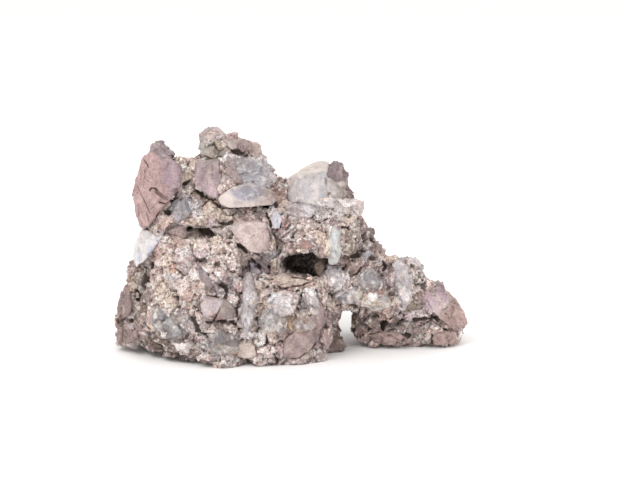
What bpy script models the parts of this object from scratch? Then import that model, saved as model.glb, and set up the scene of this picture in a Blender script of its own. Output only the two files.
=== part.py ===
"""Brecciated aquascaping rock, one natural piece.

Broken mauve porphyry and lumps of blue-white chalcedony stand out of a coarse grey-brown groundmass.
A tall left-hand mass carries two horns, a block with a banded chalcedony cap stands right of the middle,
and a low leg runs out to the right behind an arch. A cave opens below the block.

Metres, +Z up. The cave opens towards -Y, and the leg points to +X. The origin is on the ground, under the
middle of the rock's box. Places and sizes in the lists of stones are whole millimetres, which MM turns into
metres.
"""

import math

import bmesh
import bpy
import numpy as np
from mathutils import Euler, Matrix, Vector

MM = 0.001

# Grain of the solid: the cells of the skin at first, the cells of the finished skin, and what is left of them
VOXEL, FINE_VOXEL = 1.8 * MM, 1.5 * MM
TRIANGLES = 9400

# Relief of the weathered groundmass: the size of its lumps, and how far they stand above the creases
LUMP_SIZE, LUMP_RELIEF = 19 * MM, 13 * MM
GRAIN_SIZE, GRAIN_RELIEF = 10 * MM, 6 * MM
# The height in the pattern that stays where the block's own face is
LEVEL_OF_FACE = 0.2

# How far out on a unit ball the breaks lie: on sharp stones, on rounded ones, and the face that a stone shows
SHARP_REACH, ROUND_REACH, SHOWN_FACE = (0.62, 0.9), (0.8, 0.97), 0.55
BREAK_SHAKE = 0.22

# A shard behind its shown face: the rim's width and place, and the width of the far end
RIM_SPREAD, RIM_BACK, END_SPREAD = 1.07, 0.25, 0.75

SHARP_EDGE = math.radians(25)

GOLDEN_ANGLE = math.pi * (3 - math.sqrt(5))

# The groundmass as broken blocks, each the hull of its corners
BLOCKS = {
    "boulder": [
        (-106, -34, 107), (-44, -40, 108), (-122, 38, 96), (-42, 48, 98), (-124, -14, 82),
        (-141, -12, 55), (-150, -10, 25), (-152, -10, 6), (-119, -36, 5), (-84, -59, 4), (-68, -64, 1),
        (-38, -60, -1), (-105, -54, 57), (-61, -62, 72), (-90, -50, 89), (-38, -50, 80), (-30, -58, 24),
        (-148, 44, 4), (-134, 50, 74), (-60, 62, -4), (-22, 58, -4), (-84, 60, 64), (-26, 52, 90),
        (-112, 56, 30),
    ],
    "middle_boulder": [
        (-44, -53, 70), (-22, -54, 80), (10, -48, 77), (28, -38, 68), (35, -41, 50), (36, -43, 24),
        (29, -45, -4), (9, -55, -4), (-28, -59, -4), (-44, -60, 15), (-44, 44, 64), (26, 42, 60),
        (32, 46, -4), (-46, 54, -4), (-8, 56, 34), (20, 54, 20),
    ],
    "side_wedge": [
        (26, -28, 54), (42, -16, 42), (34, -14, 26), (39, -12, 21), (48, -8, 11), (41, -12, 5), (34, -20, 2),
        (26, -30, -2), (27, 24, 54), (42, 22, 42), (46, 16, 10), (28, 30, -2),
    ],
    "waist": [
        (-112, -12, 112), (-100, -18, 98), (-40, -32, 112), (0, -34, 110), (0, -30, 68), (-41, -36, 69),
        (-112, 36, 112), (-112, 40, 90), (-50, 50, 112), (10, 52, 106), (12, 54, 50), (-50, 54, 50),
    ],
    "upper_left": [
        (-112, -10, 160), (-96, -12, 166), (-72, -14, 168), (-106, -28, 106), (-40, -34, 108), (-6, -30, 104),
        (0, -18, 140), (-16, -14, 150), (-110, 24, 158), (-116, 38, 104), (-4, 42, 104),
        (0, 28, 138), (-62, 28, 162), (-60, 46, 118), (-98, 36, 132),
    ],
    "neck": [
        (-80, -14, 152), (-70, -12, 169), (-22, -10, 168), (-10, -12, 148), (-80, 30, 144),
        (-70, 26, 166), (-28, 28, 164), (-8, 34, 142), (-4, -10, 142),
    ],
    "crown": [
        (-68, -8, 164), (-52, -8, 182), (-45, 0, 185), (-36, 4, 181), (-28, 2, 178), (-22, 4, 179),
        (-19, 0, 172), (-18, -6, 162), (-38, -14, 164), (-66, 20, 162), (-52, 22, 178), (-24, 22, 162),
        (-30, 20, 174),
    ],
    "right_block": [
        (-14, -32, 132), (-14, -38, 109), (-6, -40, 90), (22, -43, 86), (52, -36, 90), (59, -28, 108),
        (57, -14, 122), (44, -10, 132), (33, -24, 142), (3, -22, 142), (-12, 32, 122), (-6, 44, 88),
        (66, 38, 80), (60, 26, 116), (4, 26, 144), (46, 24, 138), (26, 48, 98),
    ],
    "cave_back": [
        (-19, -2, 90), (46, -2, 90), (47, 2, 42), (-19, 2, 42), (-20, 54, 92), (50, 50, 88),
        (46, 50, 42), (-20, 56, 42), (14, 58, 66),
    ],
    "slope": [
        (50, -12, 118), (58, -8, 114), (62, -4, 105), (67, -2, 95), (80, -2, 84), (76, -14, 78),
        (50, -22, 80), (48, -24, 103), (50, 34, 110), (62, 34, 96), (82, 32, 76), (52, 40, 74),
    ],
    "bridge": [
        (27, -22, 78), (46, -24, 84), (72, -22, 84), (73, -18, 38), (47, -18, 36), (32, -26, 48),
        (30, 38, 78), (74, 38, 78), (72, 38, 44), (36, 40, 40),
    ],
    "leg": [
        (54, -17, 80), (78, -14, 82), (88, -10, 85), (99, -10, 80), (111, -8, 67), (125, -4, 56), (144, 0, 33),
        (148, 2, 15), (143, 2, -2), (66, 0, -4), (50, -6, 9), (50, -8, 27), (55, -17, 42),
        (93, -17, 30), (121, -12, 27), (64, 36, 70), (106, 34, 64), (130, 34, 42), (146, 32, 14),
        (140, 46, -4), (64, 54, -4), (58, 42, 12), (92, 54, 30), (118, 48, 22),
    ],
}

# Each shard: how far it reaches back, and the corners of the face that it shows
PORPHYRY_SHARDS = {
    "left_shoulder": (34, [
        (-115, -12, 171), (-105, -16, 168), (-97, -22, 165), (-90, -28, 157), (-90, -32, 145),
        (-98, -36, 135), (-102, -36, 127), (-115, -34, 124), (-127, -20, 121), (-131, -12, 133),
        (-128, -10, 151), (-124, -8, 164), (-114, -33, 150),
    ]),
    "left_cheek": (32, [
        (-130, -10, 128), (-115, -28, 125), (-102, -32, 126), (-97, -34, 117), (-100, -34, 108),
        (-116, -26, 108), (-123, -16, 111), (-129, -8, 118),
    ]),
    "shoulder_knob": (22, [
        (-119, -6, 166), (-117, -4, 175), (-113, -4, 179), (-108, -4, 178), (-104, -6, 173),
        (-97, -6, 169), (-97, -14, 165), (-107, -14, 167),
    ]),
    "upper_tile": (26, [
        (-77, -22, 164), (-67, -20, 166), (-58, -22, 166), (-55, -30, 153), (-56, -34, 144),
        (-58, -36, 136), (-63, -36, 137), (-71, -34, 144), (-77, -30, 144), (-79, -26, 152),
    ]),
    "crown_stone": (26, [
        (-76, -4, 172), (-76, 0, 182), (-73, 4, 186), (-68, 6, 188), (-62, 6, 189), (-58, 4, 187),
        (-52, 0, 182), (-53, -8, 178), (-58, -14, 174), (-62, -18, 166), (-67, -16, 166),
        (-71, -10, 170),
    ]),
    "small_wedge": (18, [
        (-55, -24, 165), (-44, -24, 162), (-40, -28, 154), (-38, -34, 148), (-44, -34, 149),
        (-53, -32, 158),
    ]),
    "blue_core_sliver": (24, [
        (-57, -38, 136), (-52, -38, 139), (-44, -36, 147), (-30, -35, 148), (-22, -35, 145),
        (-13, -33, 138), (-9, -33, 134), (-13, -36, 131), (-26, -39, 131), (-47, -41, 130),
        (-55, -41, 132),
    ]),
    "cream_fin": (18, [
        (-55, -30, 156), (-47, -34, 154), (-40, -37, 149), (-43, -39, 144), (-52, -39, 139),
        (-57, -36, 144),
    ]),
    "centre_tile": (28, [
        (-48, -44, 113), (-40, -42, 117), (-26, -38, 119), (-19, -38, 115), (-16, -38, 109),
        (-17, -44, 94), (-22, -47, 93), (-30, -50, 94), (-36, -50, 99), (-42, -48, 105),
    ]),
    "boulder_chip": (20, [
        (-71, -65, 57), (-67, -63, 60), (-55, -62, 58), (-45, -62, 48), (-43, -62, 43),
        (-54, -66, 43), (-67, -67, 43), (-71, -66, 48), (-60, -70, 51),
    ]),
    "boulder_sliver": (16, [
        (-76, -60, 84), (-72, -58, 84), (-63, -60, 73), (-60, -63, 68), (-66, -65, 68),
        (-72, -64, 75),
    ]),
    "dark_crag": (20, [
        (31, -8, 156), (34, -4, 159), (40, 0, 160), (45, 2, 158), (47, 2, 152), (49, 0, 148),
        (47, -4, 144), (42, -8, 143), (36, -14, 147), (33, -14, 151),
    ]),
    "dark_chip": (18, [
        (43, -4, 137), (48, 0, 142), (52, 0, 138), (56, -2, 130), (50, -8, 129), (45, -10, 130),
    ]),
    "slope_crag": (22, [
        (57, -4, 109), (63, 0, 107), (68, 2, 102), (72, 0, 94), (64, -8, 94), (58, -10, 100),
    ]),
    "slope_chip": (18, [
        (68, -6, 91), (71, -2, 92), (76, 0, 91), (80, 0, 86), (74, -6, 84), (68, -10, 86),
    ]),
    "leg_cap": (34, [
        (114, -6, 51), (121, -2, 53), (128, 2, 53), (133, 2, 48), (138, -2, 42), (134, -8, 33),
        (127, -11, 30), (117, -12, 34), (111, -10, 45),
    ]),
    "leg_toe": (38, [
        (133, 4, 47), (142, 4, 38), (149, 4, 30), (152, 4, 21), (149, 2, 14), (137, -4, 16),
        (126, -10, 29), (128, -8, 40),
    ]),
    "leg_toe_slab": (38, [
        (123, -8, 14), (132, -6, 15), (144, 0, 14), (149, 4, 13), (149, 4, 7), (144, 2, 2),
        (133, -4, 3), (125, -8, 4), (120, -8, 9),
    ]),
    "leg_knob": (16, [
        (120, 0, 54), (123, 4, 56), (128, 6, 56), (132, 6, 53), (133, 4, 48), (126, -2, 49),
    ]),
    "leg_low_slab": (30, [
        (66, -8, 13), (76, -12, 17), (92, -14, 16), (96, -12, 8), (85, -8, 4), (67, -6, 5),
    ]),
    "left_flank_shard": (24, [
        (-146, -10, 48), (-140, -12, 57), (-135, -18, 55), (-132, -24, 45), (-136, -26, 33),
        (-144, -18, 27), (-148, -8, 35),
    ]),
    "base_left_shard": (26, [
        (-147, -14, 21), (-140, -20, 28), (-129, -28, 27), (-125, -34, 16), (-136, -28, 11),
        (-149, -12, 8),
    ]),
}

CHALCEDONY_SHARDS = {
    "banded_block": (28, [
        (-7, -10, 144), (0, -14, 148), (6, -14, 153), (11, -12, 156), (17, -8, 159), (23, -4, 161),
        (34, -6, 160), (31, -16, 155), (28, -28, 146), (29, -31, 141), (33, -33, 134),
        (27, -37, 130), (19, -37, 135), (9, -37, 134), (1, -35, 134), (-5, -26, 137), (22, -35, 144),
    ]),
    "banded_side": (22, [
        (29, -26, 142), (34, -18, 147), (43, -12, 143), (44, -14, 136), (41, -22, 130),
        (33, -30, 132),
    ]),
    "pink_ledge": (24, [
        (17, -36, 136), (29, -34, 137), (46, -22, 132), (60, -12, 129), (62, -12, 122),
        (59, -16, 118), (50, -26, 120), (42, -34, 126), (29, -40, 130),
    ]),
    "pale_lens": (16, [
        (-15, -36, 119), (-13, -34, 125), (-9, -34, 126), (-6, -37, 119), (-8, -39, 111),
        (-13, -38, 112),
    ]),
    "left_pod": (28, [
        (-125, -16, 104), (-118, -18, 107), (-109, -26, 108), (-104, -32, 105), (-108, -35, 99),
        (-115, -36, 93), (-121, -34, 83), (-128, -24, 76), (-132, -12, 83), (-130, -10, 92),
        (-117, -35, 97),
    ]),
    "neck_blue_cluster": (28, [
        (-54, -12, 167), (-41, -16, 166), (-23, -10, 166), (-20, -12, 160), (-15, -10, 154),
        (-11, -10, 147), (-19, -22, 143), (-31, -26, 146), (-40, -28, 146), (-47, -26, 157),
    ]),
    "leg_blue_lump": (24, [
        (97, -4, 73), (103, 0, 77), (109, 2, 74), (112, 2, 68), (113, 0, 59), (105, -8, 59),
        (97, -10, 66),
    ]),
    "icy_nodule": (26, [
        (-17, -60, 57), (-12, -57, 62), (-4, -56, 64), (6, -57, 59), (7, -61, 52), (1, -64, 46),
        (-12, -64, 47), (-5, -67, 57),
    ]),
    "inner_white": (22, [
        (13, -53, 62), (19, -51, 63), (24, -51, 53), (24, -54, 44), (19, -58, 43), (14, -59, 53),
    ]),
}

# Each rounder stone: middle, full size along its own axes, turn about X, Y and Z in degrees, flat breaks, seed
PORPHYRY = {
    "cave_brow": ((10, -37, 97), (18, 17, 12), (0, 0, 0), 12, 46),
    "back_slab": ((-62, 39, 62), (64, 44, 58), (0, 12, 180), 12, 48),
    "back_tile": ((-66, 26, 134), (44, 36, 46), (0, -12, 170), 11, 49),
    "back_block": ((30, 30, 106), (52, 40, 44), (0, 8, 190), 12, 50),
    "back_leg_tile": ((98, 34, 40), (48, 32, 40), (0, 16, 190), 11, 51),
    "back_shoulder_stone": ((-96, 28, 132), (38, 36, 44), (0, 10, 200), 11, 53),
    "back_high_stone": ((-60, 20, 166), (32, 28, 26), (0, 0, 180), 12, 54),
    "back_cap_stone": ((24, 14, 134), (38, 34, 30), (0, 6, 180), 12, 55),
    "back_waist_stone": ((-34, 48, 36), (44, 30, 44), (0, 20, 175), 12, 56),
    "side_stone": ((-121, 8, 58), (26, 32, 36), (0, 20, 250), 12, 57),
    "side_high_stone": ((-102, 12, 102), (26, 34, 32), (0, 0, 250), 12, 58),
    "back_bridge_stone": ((34, 44, 50), (36, 28, 34), (0, 0, 185), 12, 59),
    "back_foot_stone": ((-112, 42, 26), (48, 42, 42), (0, 0, 200), 12, 52),
}

CHALCEDONY = {
    "botryoid": ((10, -26, 129), (32, 24, 22), (20, 0, 0), 14, 62),
    "green_pod": ((37, -30, 98), (14, 20, 33), (0, 6, 0), 14, 64),
    "icy_nodule_low": ((-13, -51, 38), (24, 20, 26), (0, -20, 0), 12, 68),
    "honey_nodule": ((10, -48, 35), (26, 20, 24), (10, 0, 0), 14, 69),
    "grey_eye": ((-92, -47, 33), (28, 20, 28), (0, 0, 0), 16, 70),
    "frosty_patch": ((-110, -39, 38), (32, 24, 26), (0, 30, 0), 11, 71),
    "low_white_chip": ((-85, -50, 16), (20, 15, 12), (0, 8, 0), 10, 72),
    "low_grey_nodule": ((-56, -56, 21), (31, 22, 24), (0, 14, 0), 13, 73),
    "pale_fin": ((-34, -53, 54), (13, 22, 52), (0, 5, 14), 9, 74),
    "leg_blue_eye": ((66, -16, 64), (22, 19, 22), (0, 0, 0), 15, 75),
    "leg_white_pair": ((39, -22, 65), (22, 17, 26), (0, -24, 0), 11, 76),
    "leg_glass_pod": ((95, -15, 60), (19, 21, 44), (0, -10, 0), 12, 77),
    "leg_yellow_band": ((71, -16, 45), (31, 18, 16), (0, 6, 0), 11, 78),
    "left_blue_shards": ((-91, -19, 122), (22, 21, 26), (0, 20, 0), 12, 81),
    "bridge_blue": ((46, -17, 52), (28, 17, 18), (0, 12, 0), 13, 83),
    "back_pod": ((-106, 40, 66), (34, 32, 40), (0, -14, 160), 14, 84),
    "back_glass": ((-18, 44, 92), (36, 30, 32), (0, 20, 180), 15, 85),
    "back_foot_nodule": ((2, 46, 26), (42, 34, 36), (0, 0, 180), 16, 86),
    "back_blue_lump": ((60, 32, 68), (34, 28, 30), (0, 0, 180), 16, 87),
    "back_neck_lump": ((-8, 30, 126), (30, 26, 28), (0, 20, 180), 14, 89),
    "side_low_lump": ((-134, 18, 32), (26, 28, 32), (0, 0, 250), 14, 89),
    "back_toe_lump": ((128, 36, 20), (32, 30, 28), (0, 0, 160), 13, 90),
    "back_crown_lump": ((-38, 20, 160), (30, 24, 28), (0, 20, 180), 14, 88),
}

# Gaps that run right through from front to back: the outline seen from the front, as places along X and Z
GAPS = {
    "arch": [(50, 34), (46, 33), (42, 25), (36, 20), (46, 10), (53, 8), (52, 25)],
    "arch_foot": [(46, 9), (54, 10), (69, 4), (69, -4), (38, -4)],
}
GAP_ENDS = (-90, 90)

HOLLOWS = {
    "front_cave": ((9, -24, 79), (34, 74, 21), (-10, 3, 0), 16, 91),
    "dark_pit": ((-78, -34, 110), (36, 30, 12), (-16, 2, 0), 14, 92),
    "leg_crevice": ((100, -26, 24), (66, 34, 8), (-8, 4, 0), 16, 96),
    "fin_crease": ((-41, -62, 52), (9, 20, 62), (0, 4, 0), 14, 97),
    "tile_crease": ((-10, -40, 96), (8, 26, 44), (0, 4, 0), 12, 98),
    "left_flank_pit": ((-126, -24, 62), (12, 26, 40), (0, 24, 30), 12, 99),
}


def clear_scene():
    for old in list(bpy.data.objects):
        bpy.data.objects.remove(old, do_unlink=True)


def break_planes(count, seed, reach):
    """Normals of the flat breaks, spread over a ball by the golden angle and shaken, and how far out each lies."""
    rng = np.random.default_rng(seed)
    turns = np.arange(count)
    height = 1 - 2 * (turns + 0.5) / count
    ring = np.sqrt(1 - height**2)
    angle = turns * GOLDEN_ANGLE + rng.uniform(0, 2 * math.pi)
    normals = np.stack([ring * np.cos(angle), ring * np.sin(angle), height], axis=1)
    normals += rng.normal(0, BREAK_SHAKE, normals.shape)
    normals /= np.linalg.norm(normals, axis=1, keepdims=True)
    return normals, rng.uniform(*reach, count)


def broken_block(corners):
    """The hull of a block's corners."""
    block = bmesh.new()
    for corner in corners:
        block.verts.new(Vector(corner) * MM)
    bmesh.ops.convex_hull(block, input=block.verts)
    bmesh.ops.recalc_face_normals(block, faces=block.faces)
    return block


def broken_stone(middle, size, turn, breaks, seed, reach, face):
    """A ball with flat breaks cut off it, stretched to its full size, turned and put in place.

    With a face, one more break is cut that far out on the stone's own -Y side: the broad face that it shows.
    """
    stone = bmesh.new()
    bmesh.ops.create_icosphere(stone, subdivisions=3, radius=1.0)
    normals, reaches = break_planes(breaks, seed, reach)
    if face:
        normals = np.vstack([normals, (0, -1, 0)])
        reaches = np.append(reaches, face)
    for normal, reach in zip(normals, reaches):
        parts = stone.verts[:] + stone.edges[:] + stone.faces[:]
        cut = bmesh.ops.bisect_plane(
            stone, geom=parts, plane_co=Vector(normal * reach), plane_no=Vector(normal), clear_outer=True
        )
        rim = [part for part in cut["geom_cut"] if isinstance(part, bmesh.types.BMEdge)]
        bmesh.ops.edgeloop_fill(stone, edges=rim)
    corners = np.array([corner.co for corner in stone.verts])
    low, high = corners.min(axis=0), corners.max(axis=0)
    fit = Matrix.Diagonal(Vector(np.array(size) * MM / (high - low))).to_4x4()
    fit @= Matrix.Translation(-Vector((low + high) / 2))
    turned = Euler([math.radians(angle) for angle in turn]).to_matrix().to_4x4()
    stone.transform(Matrix.Translation(Vector(middle) * MM) @ turned @ fit)
    return stone


def broken_shard(depth, corners):
    """The hull of a shown face, a wider rim just behind it, and a narrower end deep in the rock."""
    face = np.array(corners)
    middle = face.mean(axis=0)
    shard = bmesh.new()
    for spread, back in ((1, 0), (RIM_SPREAD, RIM_BACK * depth), (END_SPREAD, depth)):
        for corner in middle + (face - middle) * spread + (0, back, 0):
            shard.verts.new(Vector(corner) * MM)
    bmesh.ops.convex_hull(shard, input=shard.verts)
    bmesh.ops.recalc_face_normals(shard, faces=shard.faces)
    return shard


def pile(name, stones, collection):
    """One object that holds every stone as it lies."""
    heap = bpy.data.meshes.new(name)
    gathered = bmesh.new()
    for stone in stones:
        stone.to_mesh(heap)
        stone.free()
        gathered.from_mesh(heap)
    gathered.to_mesh(heap)
    gathered.free()
    made = bpy.data.objects.new(name, heap)
    collection.objects.link(made)
    return made


def settle(rock):
    """Puts the modifiers' result into the rock's own mesh."""
    graph = bpy.context.evaluated_depsgraph_get()
    settled = bpy.data.meshes.new_from_object(rock.evaluated_get(graph))
    rock.modifiers.clear()
    rock.data = settled


def weld_skin(rock, voxel):
    """Fuses all that overlaps into one skin."""
    skin = rock.modifiers.new("skin", "REMESH")
    skin.mode = "VOXEL"
    skin.voxel_size = voxel


def weather(rock, name, size, relief):
    """Pushes the skin out into lumps of about that size, with creases between them."""
    lumps = bpy.data.textures.new(name, "VORONOI")
    lumps.noise_scale = size
    lumps.weight_1 = -1
    lumps.weight_2 = 1
    worn = rock.modifiers.new(name, "DISPLACE")
    worn.texture = lumps
    worn.texture_coords = "LOCAL"
    worn.strength = relief
    worn.mid_level = LEVEL_OF_FACE


def embed(rock, stones):
    """Joins a pile of stones to the rock's mesh."""
    whole = bmesh.new()
    whole.from_mesh(rock.data)
    whole.from_mesh(stones.data)
    whole.to_mesh(rock.data)
    whole.free()
    bpy.data.objects.remove(stones)


def cut_away(rock, cutter):
    cut = rock.modifiers.new(cutter.name, "BOOLEAN")
    cut.operation = "DIFFERENCE"
    cut.object = cutter
    cut.solver = "EXACT"
    cutter.hide_render = True
    cutter.display_type = "WIRE"


def keep_one_body(rock):
    """Drops crumbs and sealed bubbles, and keeps the largest connected skin."""
    body = bmesh.new()
    body.from_mesh(rock.data)
    left, largest = set(body.verts), []
    while left:
        front = [left.pop()]
        shell = []
        while front:
            corner = front.pop()
            shell.append(corner)
            for edge in corner.link_edges:
                other = edge.other_vert(corner)
                if other in left:
                    left.remove(other)
                    front.append(other)
        if len(shell) > len(largest):
            largest = shell
    kept = set(largest)
    bmesh.ops.delete(body, geom=[v for v in body.verts if v not in kept], context="VERTS")
    body.to_mesh(rock.data)
    body.free()


def ground_block(collection):
    """All that lies under the ground, for cutting the sole flat."""
    side, depth = 0.5, 0.06
    bpy.ops.mesh.primitive_cube_add(size=1.0, location=(0, 0, -depth / 2))
    block = bpy.context.object
    block.name = "ground"
    block.data.transform(Matrix.Diagonal((side, side, depth, 1)))
    for old in block.users_collection:
        old.objects.unlink(block)
    collection.objects.link(block)
    return block


def stone_material():
    finish = bpy.data.materials.new("breccia")
    finish.use_nodes = True
    shader = finish.node_tree.nodes["Principled BSDF"]
    shader.inputs["Base Color"].default_value = (0.33, 0.27, 0.25, 1)
    shader.inputs["Roughness"].default_value = 0.85
    return finish


def build_rock():
    shapes = bpy.data.collections.new("aquascaping_rock")
    cutters = bpy.data.collections.new("cutters")
    for collection in (shapes, cutters):
        bpy.context.scene.collection.children.link(collection)

    rock = pile("rock", [broken_block(corners) for corners in BLOCKS.values()], shapes)
    weld_skin(rock, VOXEL)
    weather(rock, "lumps", LUMP_SIZE, LUMP_RELIEF)
    settle(rock)
    weld_skin(rock, VOXEL)
    weather(rock, "grains", GRAIN_SIZE, GRAIN_RELIEF)
    settle(rock)

    stones = [broken_shard(*row) for row in (PORPHYRY_SHARDS | CHALCEDONY_SHARDS).values()]
    stones += [broken_stone(*row, SHARP_REACH, SHOWN_FACE) for row in PORPHYRY.values()]
    stones += [broken_stone(*row, ROUND_REACH, None) for row in CHALCEDONY.values()]
    embed(rock, pile("stones", stones, shapes))
    weld_skin(rock, VOXEL)
    settle(rock)
    for name, row in HOLLOWS.items():
        cut_away(rock, pile(name, [broken_stone(*row, ROUND_REACH, None)], cutters))
    for name, outline in GAPS.items():
        cut_away(rock, pile(name, [broken_block([(x, y, z) for y in GAP_ENDS for x, z in outline])], cutters))
    weld_skin(rock, FINE_VOXEL)
    settle(rock)
    keep_one_body(rock)

    thin = rock.modifiers.new("thin", "DECIMATE")
    thin.ratio = TRIANGLES / sum(len(face.vertices) - 2 for face in rock.data.polygons)
    settle(rock)
    cut_away(rock, ground_block(cutters))
    settle(rock)
    keep_one_body(rock)
    rock.data.materials.clear()
    rock.data.materials.append(stone_material())
    rock.data.shade_smooth()
    rock.data.set_sharp_from_angle(angle=SHARP_EDGE)


clear_scene()
build_rock()
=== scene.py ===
import math

import bmesh
import bpy
import numpy as np
from mathutils import Euler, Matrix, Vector


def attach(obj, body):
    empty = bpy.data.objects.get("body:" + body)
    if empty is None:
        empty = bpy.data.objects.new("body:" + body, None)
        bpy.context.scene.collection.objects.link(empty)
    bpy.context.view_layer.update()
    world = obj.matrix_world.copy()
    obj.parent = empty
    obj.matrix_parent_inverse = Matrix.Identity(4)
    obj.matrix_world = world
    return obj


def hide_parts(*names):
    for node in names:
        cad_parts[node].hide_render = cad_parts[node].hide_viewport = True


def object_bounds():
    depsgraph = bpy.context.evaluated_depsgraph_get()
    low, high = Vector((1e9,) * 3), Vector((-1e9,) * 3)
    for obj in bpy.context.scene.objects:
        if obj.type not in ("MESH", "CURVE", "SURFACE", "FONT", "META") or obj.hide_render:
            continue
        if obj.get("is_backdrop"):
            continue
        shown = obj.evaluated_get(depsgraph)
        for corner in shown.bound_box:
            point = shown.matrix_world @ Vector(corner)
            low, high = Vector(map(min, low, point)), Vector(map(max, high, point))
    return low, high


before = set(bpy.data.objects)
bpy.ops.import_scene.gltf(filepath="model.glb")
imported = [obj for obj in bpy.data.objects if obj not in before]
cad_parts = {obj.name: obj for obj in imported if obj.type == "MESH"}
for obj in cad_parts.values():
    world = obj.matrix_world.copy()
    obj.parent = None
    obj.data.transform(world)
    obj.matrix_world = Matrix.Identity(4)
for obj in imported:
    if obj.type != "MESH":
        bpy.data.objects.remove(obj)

cad_low, cad_high = (np.array(corner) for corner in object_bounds())


# Broken mauve porphyry: fine-grained volcanic stone that shattered into angular pieces before the rock set.
# Each piece is the hull of its breaks, with shallow scoops on its faces and worn, chipped edges.
# It is bedded in the groundmass and shows the face that the rock broke along.

MM = 0.001

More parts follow.
